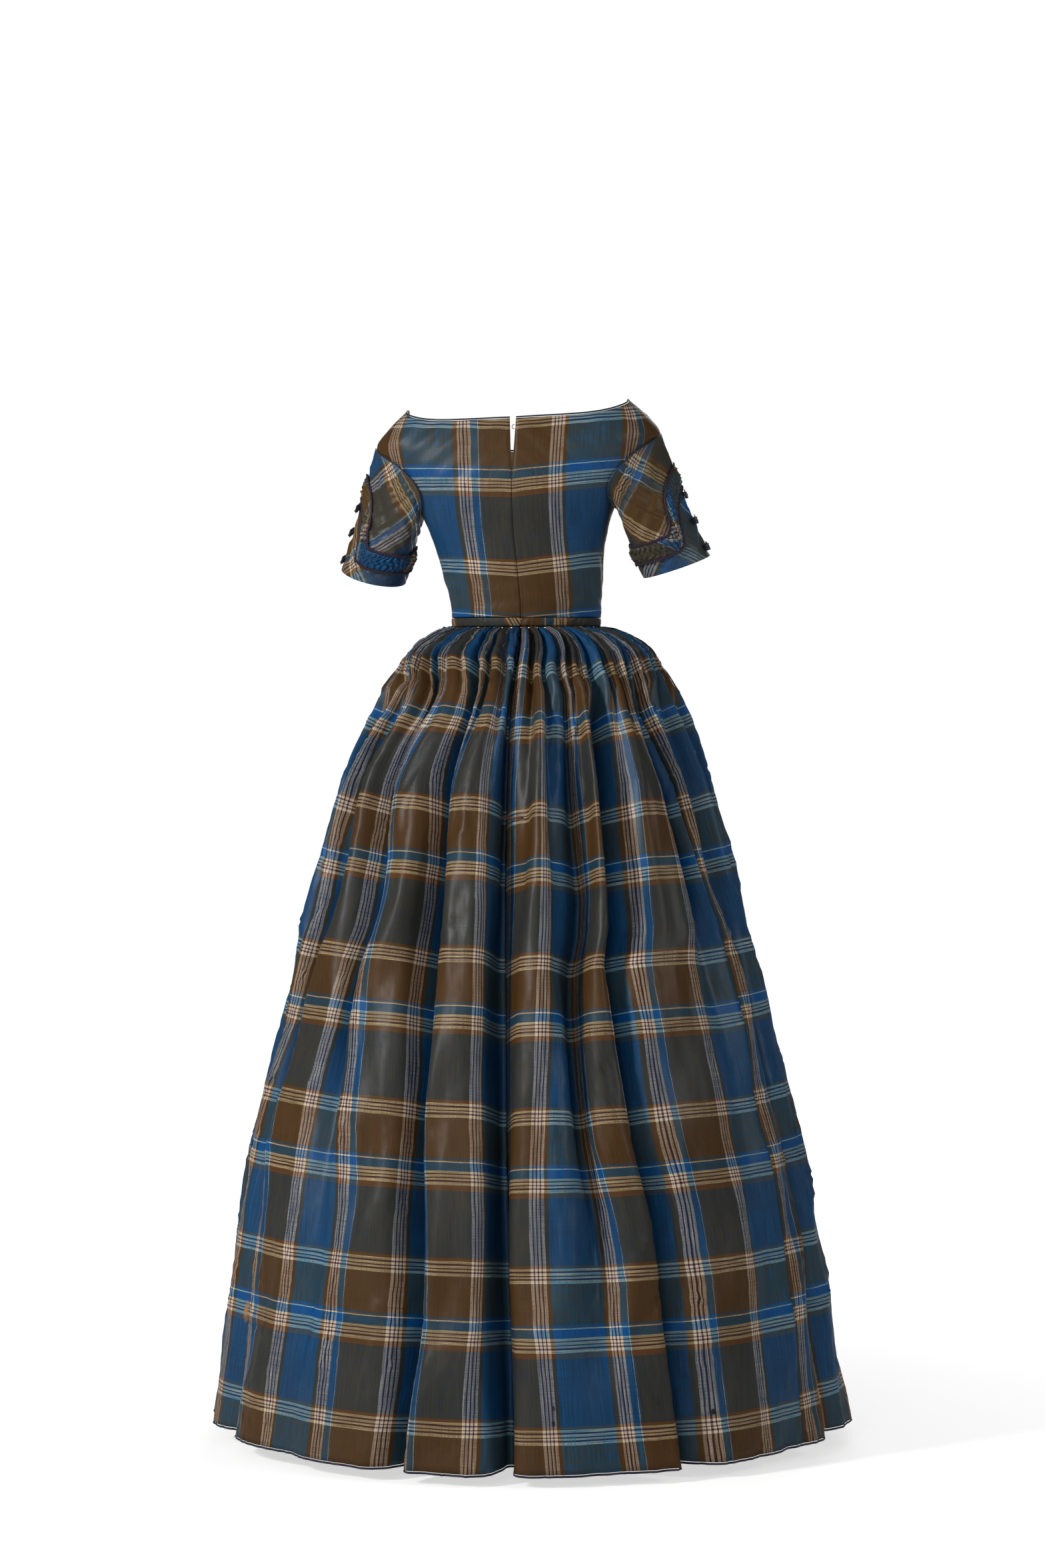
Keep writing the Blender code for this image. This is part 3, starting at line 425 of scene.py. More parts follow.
def torso_points(degrees, height):
    angle = np.radians(degrees)
    side, back, front, square = (column(TORSO, number, height) for number in (1, 2, 3, 4))
    sine, cosine = np.sin(angle), np.cos(angle)
    x = side * np.sign(sine) * np.abs(sine) ** (2 / square)
    y = -np.where(cosine > 0, back, front) * np.sign(cosine) * np.abs(cosine) ** (2 / square)
    return np.stack([x, y, np.broadcast_to(height, x.shape)], axis=-1)


def neck_height(degrees):
    return smooth_curve(NECK_ANGLES, NECK_HEIGHTS, np.abs((np.asarray(degrees, float) + 180) % 360 - 180))


def bodice_points(degrees, share):
    return torso_points(degrees, BODICE_FOOT + share * (neck_height(degrees) - BODICE_FOOT))


def torso_normals(degrees, share):
    aside = bodice_points(degrees + 0.5, share) - bodice_points(degrees - 0.5, share)
    up = bodice_points(degrees, np.minimum(share + 0.01, 1)) - bodice_points(degrees, share - 0.01)
    return unit(np.cross(aside, up))


def armhole_edge(number, share):
    inside = (share >= ARMHOLE[0, 0]) & (share <= ARMHOLE[-1, 0])
    return np.where(inside, column(ARMHOLE, number, share), 90.0)


def back_edge(share):
    gap = np.interp(share, (0, 0.72, 1), (0.0004, 0.0004, 0.0040))
    height = BODICE_FOOT + share * (NECK_HEIGHTS[0] - BODICE_FOOT)
    side, square = column(TORSO, 1, height), column(TORSO, 4, height)
    return np.degrees(np.arcsin((gap / side) ** (square / 2)))


def pose(points):
    share = np.clip(points[..., 2] / POSE_HEIGHT, 0, 1)
    share = share**2 * (3 - 2 * share)
    posed = points.copy()
    posed[..., 0] += LEAN * share
    posed[..., 2] += SHOULDER_TILT * points[..., 0] * share
    return posed


def armhole_ring(side, columns):
    down = np.linspace(ARMHOLE[-1, 0], ARMHOLE[0, 0], columns // 2 + 1)
    shares = np.concatenate([down, down[-2:0:-1]])
    angles = np.concatenate([column(ARMHOLE, 1, down), column(ARMHOLE, 2, down)[-2:0:-1]]) * SIDES[side]
    ring, normals = bodice_points(angles, shares), torso_normals(angles, shares)
    off = unit(np.cross(normals, unit(np.roll(ring, -1, axis=0) - np.roll(ring, 1, axis=0))))
    off *= np.sign(np.sum(off * (ring.mean(axis=0) - ring), axis=1, keepdims=True))
    return ring, normals, off


def sleeve_points(side, shares, columns):
    ring, normals, off = armhole_ring(side, columns)
    turn = np.linspace(0, 2 * np.pi, columns, endpoint=False)[:, None]
    centre, outer, back = (np.array(v) for v in CUFFS[side])
    start, end = pose(ring + normals * SLEEVE_LIFT), centre + np.cos(turn) * outer + np.sin(turn) * back
    under = ((1 - np.cos(turn)) / 2) ** 4
    leave = unit(normals * (0.25 + under) + off * (1 - 0.85 * under))
    first = start + leave * (SLEEVE_EASE * (1 - under) + UNDERARM_EASE * under)
    second = end - unit(centre - start.mean(axis=0)) * SLEEVE_EASE
    t = np.asarray(shares)[:, None, None]
    return start * (1 - t) ** 3 + 3 * first * t * (1 - t) ** 2 + 3 * second * t**2 * (1 - t) + end * t**3


# Effects that several cloths share

def new_group(name, inputs, outputs):
    group = bpy.data.node_groups.new(name, "ShaderNodeTree")
    for label, kind, value in inputs:
        socket = group.interface.new_socket(name=label, in_out="INPUT", socket_type=kind)
        if value is not None:
            socket.default_value = value
    for label, kind in outputs:
        group.interface.new_socket(name=label, in_out="OUTPUT", socket_type=kind)
    return group, group.nodes.new("NodeGroupInput"), group.nodes.new("NodeGroupOutput")


def math_node(tree, operation, *values):
    node = tree.nodes.new("ShaderNodeMath")
    node.operation = operation
    for socket, value in zip(node.inputs, values):
        if isinstance(value, (int, float)):
            socket.default_value = value
        else:
            tree.links.new(value, socket)
    return node.outputs[0]


def mixed_colour(tree, share, first, second, blend="MIX"):
    node = tree.nodes.new("ShaderNodeMix")
    node.data_type, node.blend_type = "RGBA", blend
    for socket, value in ((node.inputs[0], share), (node.inputs[6], first), (node.inputs[7], second)):
        if isinstance(value, (int, float)):
            socket.default_value = value
        elif isinstance(value, tuple):
            socket.default_value = (*value, 1)
        else:
            tree.links.new(value, socket)
    return node.outputs[2]


def raised(tree, colour, power):
    node = tree.nodes.new("ShaderNodeGamma")
    node.inputs[1].default_value = power
    tree.links.new(colour, node.inputs[0])
    return node.outputs[0]


def vector_node(tree, operation, *given, result="Vector"):
    node = tree.nodes.new("ShaderNodeVectorMath")
    node.operation = operation
    for socket, value in zip(node.inputs, given):
        tree.links.new(value, socket)
    return node.outputs[result]


def stretched_noise(tree, place, scale, detail=2.0, roughness=0.5, stretch=(1, 1, 1)):
    """Noise on a place in metres, with so many waves a metre, drawn out by the given scales."""
    mapping = tree.nodes.new("ShaderNodeMapping")
    mapping.inputs["Scale"].default_value = stretch
    tree.links.new(place, mapping.inputs["Vector"])
    noise = tree.nodes.new("ShaderNodeTexNoise")
    noise.inputs["Scale"].default_value = scale
    noise.inputs["Detail"].default_value = detail
    noise.inputs["Roughness"].default_value = roughness
    tree.links.new(mapping.outputs[0], noise.inputs["Vector"])
    return noise.outputs["Fac"]


def ranged(tree, value, low, high, to_low, to_high):
    node = tree.nodes.new("ShaderNodeMapRange")
    tree.links.new(value, node.inputs[0])
    for socket, number in zip(list(node.inputs)[1:5], (low, high, to_low, to_high)):
        socket.default_value = number
    return node.outputs[0]


def striped(tree, place, repeat, stripes):
    """Threads' colours across one repeat of the plaid."""
    ramp = tree.nodes.new("ShaderNodeValToRGB")
    ramp.color_ramp.interpolation = "CONSTANT"
    elements = ramp.color_ramp.elements
    while len(elements) > 1:
        elements.remove(elements[-1])
    elements[0].position, elements[0].color = 0, (*stripes[0][1], 1)
    for start, colour in stripes[1:]:
        elements.new(start / repeat).color = (*colour, 1)
    tree.links.new(math_node(tree, "FRACT", math_node(tree, "DIVIDE", place, repeat)), ramp.inputs[0])
    return ramp.outputs[0]


# The silk's threads, as linear colours
WARP_BLUE, WARP_BROWN, WARP_CREAM = (0.0020, 0.122, 0.350), (0.080, 0.054, 0.017), (0.72, 0.64, 0.53)
WEFT_SLATE, WEFT_BROWN, WEFT_CREAM = (0.016, 0.031, 0.068), (0.098, 0.029, 0.006), (0.80, 0.60, 0.36)
THREAD_WHITE, THREAD_NAVY, THREAD_MAROON = (0.84, 0.80, 0.72), (0.004, 0.006, 0.035), (0.060, 0.005, 0.016)
THREAD_RUST, WEFT_BLUE = (0.160, 0.040, 0.010), (0.0008, 0.062, 0.245)
WARP_REPEAT, WEFT_REPEAT = 0.190, 0.195


def lined_band(starts, ground, line):
    """Rows of a band whose ground is parted by thin lines: ground and line in turn, each from its start."""
    return [(start, line if number % 2 else ground) for number, start in enumerate(starts)]


# Where each colour starts within one repeat, in metres
WARP_STRIPES = (
    (0.0000, WARP_BROWN),
    *lined_band((0.0060, 0.0095, 0.0110, 0.0140, 0.0156, 0.0186, 0.0201), WARP_CREAM, THREAD_NAVY),
    (0.0240, WARP_BLUE),
    (0.0335, THREAD_WHITE),
    (0.0347, WARP_BROWN),
    (0.0357, WARP_BLUE),
    (0.0370, WARP_BROWN),
    *lined_band((0.0936, 0.0975, 0.0990, 0.1020, 0.1036, 0.1066, 0.1081), WARP_CREAM, THREAD_NAVY),
    (0.1120, WARP_BROWN),
    (0.1160, WARP_BLUE),
)
WEFT_STRIPES = (
    (0.0000, WEFT_SLATE),
    (0.0820, THREAD_RUST),
    *lined_band((0.0860, 0.0891, 0.0908, 0.0940, 0.0953, 0.0981, 0.0998), WEFT_CREAM, THREAD_MAROON),
    (0.1040, WEFT_BROWN),
    (0.1540, WEFT_BLUE),
    (0.1565, THREAD_RUST),
    (0.1580, THREAD_WHITE),
    (0.1595, WEFT_BLUE),
    *lined_band((0.1700, 0.1730, 0.1747, 0.1775, 0.1792, 0.1820, 0.1837), WEFT_CREAM, THREAD_MAROON),
    (0.1880, THREAD_RUST),
)
# Threads' colours are mixed after this power, so that a dark one counts for more than in a plain mean
CROSSING_GAMMA = 0.38


def plaid_group():
    """Shot plaid silk: threads of the warp and the weft laid half and half, a little slubbed and uneven."""
    group, given, result = new_group(
        "plaid weave",
        [("Cloth", "NodeSocketVector", None), ("Slub", "NodeSocketFloat", 1.0)],
        [("Color", "NodeSocketColor"), ("Height", "NodeSocketFloat"), ("Shine", "NodeSocketFloat")],
    )
    cloth = given.outputs["Cloth"]
    wander = stretched_noise(group, cloth, 22, 1.0)
    ragged = stretched_noise(group, cloth, 900, 0.0)
    split = group.nodes.new("ShaderNodeSeparateXYZ")
    group.links.new(cloth, split.inputs[0])
    wander = ranged(group, wander, 0, 1, -0.0009, 0.0009)
    ragged = ranged(group, ragged, 0, 1, -0.00015, 0.00015)
    shift = math_node(group, "ADD", wander, ragged)
    warp = striped(group, math_node(group, "ADD", split.outputs[0], shift), WARP_REPEAT, WARP_STRIPES)
    weft = striped(group, math_node(group, "ADD", split.outputs[1], shift), WEFT_REPEAT, WEFT_STRIPES)
    warp_slub = stretched_noise(group, cloth, 1100, 2.0, 0.6, (1, 0.018, 1))
    weft_slub = stretched_noise(group, cloth, 1100, 2.0, 0.6, (0.018, 1, 1))
    difference = math_node(group, "MULTIPLY", math_node(group, "SUBTRACT", weft_slub, warp_slub), 1.1)
    roots = [raised(group, thread, CROSSING_GAMMA) for thread in (warp, weft)]
    blended = mixed_colour(group, math_node(group, "ADD", difference, 0.5), *roots)
    crossing = raised(group, blended, 1 / CROSSING_GAMMA)
    streaks = math_node(group, "ADD", warp_slub, weft_slub)
    uneven = stretched_noise(group, cloth, 9, 3.0)
    fine_shade = ranged(group, streaks, 0.5, 1.5, 0.66, 1.34)
    broad_shade = ranged(group, uneven, 0.3, 0.7, 0.90, 1.10)
    shade = math_node(group, "MULTIPLY", fine_shade, broad_shade)
    tone = group.nodes.new("ShaderNodeCombineXYZ")
    for socket in tone.inputs:
        group.links.new(shade, socket)
    group.links.new(mixed_colour(group, 1.0, crossing, tone.outputs[0], "MULTIPLY"), result.inputs["Color"])
    group.links.new(math_node(group, "MULTIPLY", streaks, given.outputs["Slub"]), result.inputs["Height"])
    group.links.new(ranged(group, uneven, 0.3, 0.7, 0.36, 0.46), result.inputs["Shine"])
    return group


def patch_group():
    """A soft, ragged spot of given size about a place on the cloth: a stain, a worn patch or a small hole,
    whose dark is painted shade.
    """
    group, given, result = new_group(
        "ragged patch",
        [
            ("Cloth", "NodeSocketVector", None),
            ("Middle", "NodeSocketVector", None),
            ("Spread", "NodeSocketVector", (100, 100, 1)),
            ("Soft edge", "NodeSocketFloat", 0.5),
        ],
        [("Share", "NodeSocketFloat")],
    )
    away = vector_node(group, "SUBTRACT", given.outputs["Cloth"], given.outputs["Middle"])
    scaled = vector_node(group, "MULTIPLY", away, given.outputs["Spread"])
    length = vector_node(group, "LENGTH", scaled, result="Value")
    ragged = stretched_noise(group, given.outputs["Cloth"], 260, 3.0)
    reach = math_node(group, "ADD", length, ranged(group, ragged, 0, 1, -0.6, 0.6))
    share = math_node(group, "DIVIDE", math_node(group, "SUBTRACT", 1.0, reach), given.outputs["Soft edge"])
    share = math_node(group, "MINIMUM", math_node(group, "MAXIMUM", share, 0.0), 1.0)
    group.links.new(share, result.inputs["Share"])
    return group


PLAID, PATCH = plaid_group(), patch_group()


# Cloths and threads

def new_material(name):
    material = bpy.data.materials.new(name)
    material.use_nodes = True
    tree = material.node_tree
    return material, tree, tree.nodes["Principled BSDF"]


def placed_group(tree, group, **values):
    node = tree.nodes.new("ShaderNodeGroup")
    node.node_tree = group
    for label, value in values.items():
        node.inputs[label.replace("_", " ")].default_value = value
    return node


def bumped(tree, shader, height, strength, distance):
    bump = tree.nodes.new("ShaderNodeBump")
    bump.inputs["Strength"].default_value = strength
    bump.inputs["Distance"].default_value = distance
    tree.links.new(height, bump.inputs["Height"])
    tree.links.new(bump.outputs[0], shader.inputs["Normal"])


def plaid_silk(name, faded, fading, stains_and_hole_shade=()):
    """The silk, read from its place on the cloth. Stains and hole shade are rows of middle, spread, edge,
    colour, strength; a near-black row is painted shade where a hole is.
    """
    material, tree, shader = new_material(name)
    place = tree.nodes.new("ShaderNodeUVMap")
    place.uv_map = "cloth"
    weave = placed_group(tree, PLAID, Slub=1.0)
    tree.links.new(place.outputs[0], weave.inputs["Cloth"])
    blotches = stretched_noise(tree, place.outputs[0], 7, 3.0)
    share = ranged(tree, blotches, 0.35, 0.75, 0.0, fading)
    colour = mixed_colour(tree, share, weave.outputs["Color"], faded)
    # Each patch mixes in its colour: brown rows are real stains, near-black rows are painted shade in holes
    for middle, spread, edge, stain_and_shade_colour, strength in stains_and_hole_shade:
        patch = placed_group(tree, PATCH, Middle=(*middle, 0), Spread=(*spread, 1), Soft_edge=edge)
        tree.links.new(place.outputs[0], patch.inputs["Cloth"])
        colour = mixed_colour(tree, math_node(tree, "MULTIPLY", patch.outputs[0], strength), colour, stain_and_shade_colour)
    tree.links.new(colour, shader.inputs["Base Color"])
    tree.links.new(weave.outputs["Shine"], shader.inputs["Roughness"])
    shader.inputs["Specular IOR Level"].default_value = 0.22
    bumped(tree, shader, weave.outputs["Height"], 0.35, 0.00025)
    return material


def plain_cloth(name, colour, deep, rough, scale, bump):
    """A plain thread or lining, mottled between two colours by a weave read from the object."""
    material, tree, shader = new_material(name)
    place = tree.nodes.new("ShaderNodeTexCoord")
    fine = stretched_noise(tree, place.outputs["Object"], scale, 3.0, 0.6)
    broad = stretched_noise(tree, place.outputs["Object"], 18)
    fine_share, broad_share = ranged(tree, fine, 0.3, 0.7, 0.2, 1.0), ranged(tree, broad, 0.3, 0.7, 0.6, 1.0)
    share = math_node(tree, "MULTIPLY", fine_share, broad_share)
    tree.links.new(mixed_colour(tree, share, deep, colour), shader.inputs["Base Color"])
    tree.links.new(ranged(tree, fine, 0.3, 0.7, rough + 0.08, rough - 0.05), shader.inputs["Roughness"])
    shader.inputs["Sheen Weight"].default_value = 0.2
    bumped(tree, shader, fine, 0.6, bump)
    return material


# Stains and holes of the skirt: place on the cloth, spread as 1 / radius each way, edge, colour, strength. The
# two brown rows are real stains; the four near-black rows are holes drawn as spots of painted shade, the dark
# inside of the skirt seen through them
SKIRT_STAINS_AND_HOLE_SHADE = (
    ((2.799, 0.964), (190, 60), 0.9, (0.62, 0.25, 0.030), 0.85),
    ((2.865, 1.020), (230, 26), 0.9, (0.50, 0.22, 0.040), 0.60),
    # Holes: near-black painted shade of the skirt's inside, painted onto the cloth
    ((3.056, 0.974), (420, 420), 0.3, (0.012, 0.010, 0.010), 0.95),
    ((0.3985, 1.053), (330, 260), 0.3, (0.015, 0.012, 0.012), 0.95),
    ((0.1080, 1.0525), (380, 190), 0.4, (0.015, 0.012, 0.012), 0.90),
    ((0.1095, 1.0340), (420, 260), 0.4, (0.020, 0.016, 0.014), 0.80),
)
SKIRT_SILK = plaid_silk("plaid silk of the skirt", (0.10, 0.085, 0.060), 0.16, SKIRT_STAINS_AND_HOLE_SHADE)
BODICE_SILK = plaid_silk("plaid silk of the bodice", (0.11, 0.080, 0.045), 0.20)
SLEEVE_SILK = plaid_silk("plaid silk on the bias", (0.16, 0.115, 0.045), 0.42)
LINING = plain_cloth("polished cotton lining", (0.42, 0.31, 0.18), (0.25, 0.17, 0.09), 0.55, 1500, 0.0002)
NAVY = plain_cloth("navy silk braid", (0.022, 0.020, 0.060), (0.006, 0.006, 0.018), 0.62, 1400, 0.0005)
CRIMSON = plain_cloth("crimson braid", (0.230, 0.018, 0.040), (0.060, 0.006, 0.014), 0.60, 1600, 0.0006)
THREAD = plain_cloth("tan sewing thread", (0.36, 0.20, 0.09), (0.14, 0.07, 0.03), 0.6, 1800, 0.0003)
FRINGE = plain_cloth("blue black fringe", (0.030, 0.050, 0.120), (0.008, 0.008, 0.020), 0.65, 1500, 0.0003)
PIPED_SILK = plain_cloth("navy piping silk", (0.010, 0.030, 0.075), (0.006, 0.008, 0.022), 0.42, 900, 0.0003)
RUST_THREAD = plain_cloth("rust thread", (0.20, 0.060, 0.030), (0.07, 0.02, 0.012), 0.6, 1800, 0.0003)


# The skirt, six widths of silk gathered into the waistband

def make_skirt():
    stretches = ((0, 0.075, 30), (0.075, 0.30, 44), (0.30, SKIRT_LENGTH, 86))
    down = np.concatenate([np.linspace(*stretch)[:-1] for stretch in stretches] + [[SKIRT_LENGTH]])
    width = SKIRT_CLOTH / SKIRT_WIDTHS
    # How far the plaid of each width is moved up or down from a perfect match
    shifts = (-0.005, 0.002, -0.003, 0.003, -0.002, 0.003)
    for number, shift in enumerate(shifts, start=1):
        start = (number - 1) * width
        across = np.linspace(start + SEAM_GAP / 2, start + width - SEAM_GAP / 2, 116)
        points = skirt_surface(across, down)
        cloth = np.stack(np.broadcast_arrays(across[None, :], down[:, None] + shift), axis=-1)
        name = f"skirt_silk_{number}"
        piece = sheet_mesh(name, points, cloth, False, SKIRT_SILK, SKIRT_WALL, LINING)
        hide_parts(f"skirt_width_{number}")


# The bodice: two backs that meet down the centre, and a darted front

def wrinkled(points, across, height, seed, strength):
    """Soft unpressed creases: long ones up the seams, short ones near the waist, and a fine crinkle."""
    normals = grid_normals(points, False)
    low = 1 - ease(0.02, 0.15, height)
    high = ease(0.12, 0.21, height)
    swell = ripple(across, height, 0.075, 0.16, seed) * 0.0006
    folds = ripple(across * 0.35, height, 0.10, 0.034, seed + 1) * 0.00075 * low
    drags = ripple(across + 0.9 * height, height, 0.052, 0.20, seed + 2) * 0.00070 * high
    crinkle = ripple(across, height, 0.011, 0.017, seed + 3) * 0.00010
    return points + normals * ((swell + folds + drags + crinkle) * strength)[..., None]


def seam_dip(distance, width, depth):
    """A stitched seam or dart: a narrow groove with a little fullness on both sides."""
    near = np.abs(distance) / width
    return -depth * np.exp(-(near**2) * 6) + depth * 0.45 * np.exp(-((near - 1) ** 2) * 5)


def bodice_shares(neck, middle, waist):
    """Shares of the bodice's height, from the neck down, with so many rows in each stretch."""
    stretches = ((1, 0.90, neck), (0.90, 0.45, middle), (0.45, 0, waist))
    return np.concatenate([np.linspace(*stretch)[:-1] for stretch in stretches] + [[0]])


def with_edges_of(flat, relief):
    """Relief whose four edges lie where the smooth surface has them, so that seams meet."""
    relief[:, 0], relief[:, -1], relief[0], relief[-1] = flat[:, 0], flat[:, -1], flat[0], flat[-1]
    return relief


def bodice_weft(flat, tilt):
    """Where the bodice's points lie along the weft's repeat, as it rises by the tilt to both sides."""
    return (WEFT_AT_WAIST - flat[..., 2]) * WEFT_STRETCH + tilt * np.abs(flat[..., 0])


def make_backs():
    shares = bodice_shares(16, 66, 54)
    for side, sign in SIDES.items():
        inner, outer = back_edge(shares), np.full(len(shares), 90 - 0.075)
        outer = np.minimum(outer, armhole_edge(1, shares))
        steps = np.linspace(0, 1, 96)
        angles = inner[:, None] + (outer - inner)[:, None] * steps[None, :]
        share = np.broadcast_to(shares[:, None], angles.shape)
        flat = bodice_points(angles, share)
        across = lengths_across(flat)
        height = flat[..., 2]
        relief = wrinkled(flat, across, height, 40 + sign, 1.0)
        normals = grid_normals(flat, False)
        normals = normals * np.sign(np.sum(normals[10, 10] * (flat[10, 10] - (0, 0, 0.15))))
        facing = seam_dip(across - 0.0285, 0.0022, 0.00035) + seam_dip(across - 0.0030, 0.0014, 0.00025)
        edge = seam_dip(across[:, -1:] - across - 0.0030, 0.0016, 0.0003) * ease(0.13, 0.16, height)
        relief = with_edges_of(flat, relief + normals * (facing + edge)[..., None])
        relief[..., 0] *= sign
        points = pose(relief)
        tilts, closing = BACK_PLAID[side]
        stretch = 1 + 0.10 * np.clip(1 - height / 0.20, 0, 1) * (sign < 0)
        warp = closing + across * sign * stretch
        weft = bodice_weft(flat, np.interp(height, TILT_HEIGHTS, tilts))
        cloth = np.stack([warp, weft], axis=-1)
        if sign < 0:
            points, cloth = points[:, ::-1], cloth[:, ::-1]
        name = f"bodice_silk_back_{side}"
        piece = sheet_mesh(name, points, cloth, False, BODICE_SILK, BODICE_WALL, LINING)
        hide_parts(f"bodice_back_{side}")


def make_front():
    shares = bodice_shares(14, 60, 50)
    edge = np.maximum(90.075, armhole_edge(2, shares))
    steps = np.linspace(-1, 1, 190)
    angles = 180 + (180 - edge)[:, None] * steps[None, :]
    share = np.broadcast_to(shares[:, None], angles.shape)
    flat = bodice_points(angles, share)
    across = lengths_across(flat)
    across = across - across[:, 94:96].mean(axis=1, keepdims=True)
    height = flat[..., 2]
    normals = grid_normals(flat, False)
    relief = wrinkled(flat, across, height, 60, 0.8)
    darts = np.zeros_like(across)
    for place, lean, top in DARTS:
        fade = 1 - ease(top - 0.035, top, height)
        darts = darts + seam_dip(across - place - lean * height, 0.0028, 0.0007) * fade
    points = pose(with_edges_of(flat, relief + normals * darts[..., None]))
    cloth = np.stack([0.133 - across, bodice_weft(flat, 0.10)], axis=-1)
    piece = sheet_mesh("bodice_silk_front", points, cloth, False, BODICE_SILK, BODICE_WALL, LINING)
    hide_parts("bodice_front")


# The sleeves, cut on the bias

def ring_arcs(points):
    """Length round each closed row, up to every point and once more to the first."""
    steps = np.linalg.norm(np.roll(points, -1, axis=1) - points, axis=2)
    return np.concatenate([np.zeros((len(points), 1)), np.cumsum(steps, axis=1)], axis=1)


def lengths_above(points):
    steps = np.linalg.norm(np.diff(points, axis=0), axis=2)
    return np.concatenate([np.cumsum(steps[::-1], axis=0)[::-1], np.zeros((1, points.shape[1]))])


def outward_normals(points):
    """Normals of a closed grid, turned away from its middle."""
    normals = grid_normals(points, True)
    middle = points.mean(axis=1, keepdims=True)
    return normals * np.sign(np.sum(normals * (points - middle)))


def fine_sleeve(side):
    """Points, outward normals and length above the cuff of a sleeve's smooth middle surface."""
    points = sleeve_points(side, SLEEVE_SHARES, SLEEVE_FINE)
    return points, outward_normals(points), lengths_above(points)


def bias_cloth(side, points):
    """Where each point lies on the cloth: the threads run across the arm at forty-five degrees."""
    arcs, above = ring_arcs(points), lengths_above(points)
    above = np.concatenate([above, above[:, :1]], axis=1)
    if side == "left":
        warp, weft = 0.0305 + (above - arcs) * 0.707, 0.1790 + (0.2170 - above - arcs) * 0.707
    else:
        warp, weft = 0.0343 + (0.2050 - above - arcs) * 0.770, 0.1587 + (above - arcs - 0.0585) * 0.720
    return np.stack([warp, weft], axis=-1)


def make_sleeves():
    turn = np.linspace(0, 360, SLEEVE_FINE, endpoint=False)[None, :]
    for side, sign in SIDES.items():
        points, normals, above = fine_sleeve(side)
        arcs = ring_arcs(points)[:, :-1]
        free = np.minimum(1, lengths_above(points[::-1])[::-1] / 0.02) * np.minimum(1, above / 0.012)
        back = np.exp(-(((turn - 75) / 55) ** 2))
        seed = 80 + 5 * sign
        drag = ripple(arcs + 0.8 * above, above * 0.3, 0.030, 0.10, seed) * 0.0011
        pull = ripple(arcs - 1.1 * above, above * 0.3, 0.024, 0.12, seed + 1) * 0.0009 * back
        ease_in = np.sin(arcs * 2 * np.pi / 0.0105 + ripple(arcs, above, 0.03, 0.1, seed + 2)) * 0.0005
        ease_in = ease_in * np.exp(-((above - above[:1]) / 0.012) ** 2)
        crinkle = ripple(arcs, above, 0.009, 0.012, seed + 3) * 0.00012
        points = points + normals * ((drag + pull + ease_in + crinkle) * free)[..., None]
        cloth = bias_cloth(side, points)
        if side == "right":
            points, cloth = points[:, ::-1], cloth[:, ::-1]
        name = f"sleeve_silk_{side}"
        piece = sheet_mesh(name, points, cloth, True, SLEEVE_SILK, SLEEVE_WALL, LINING)
        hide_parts(f"sleeve_{side}")


def sleeve_place(side, degrees, height):
    """Points of the sleeve's middle surface at heights above the cuff, and the way it faces there."""
    points, normals, above = FINE_SLEEVES[side]
    degrees, height = np.broadcast_arrays(np.asarray(degrees, float) % 360, np.asarray(height, float))
    place = degrees / 360 * SLEEVE_FINE
    low = np.floor(place).astype(int) % SLEEVE_FINE
    share = (place - np.floor(place))[:, None]

    def read(grid, columns):
        rows = [
            [np.interp(at, above[::-1, number], grid[::-1, number, axis]) for axis in range(3)]
            for at, number in zip(height, columns)
        ]
        return np.array(rows)

    high = (low + 1) % SLEEVE_FINE
    found, facing = (read(grid, low) * (1 - share) + read(grid, high) * share for grid in (points, normals))
    return found, unit(facing)


def trim_line(side, heights, count):
    """A line round the sleeve at the braid's heights, evenly spaced along itself."""
    degrees = np.linspace(0, 360, 241)
    turned = np.minimum(degrees, 360 - degrees)
    at = smooth_curve(BAND_ANGLES, heights, turned)
    line, facing = sleeve_place(side, degrees[:-1], at[:-1])
    line, facing = np.concatenate([line, line[:1]]), np.concatenate([facing, facing[:1]])
    length = lengths_along(line)
    wanted = np.linspace(0, length[-1], count, endpoint=False)
    line, facing = read_along(wanted, length, line), unit(read_along(wanted, length, facing))
    along = unit(np.roll(line, -1, axis=0) - np.roll(line, 1, axis=0))
    up = unit(np.cross(facing, along))
    if up[:, 2].mean() < 0:
        up = -up
    return line, facing, up, length[-1], np.interp(wanted, length, degrees)


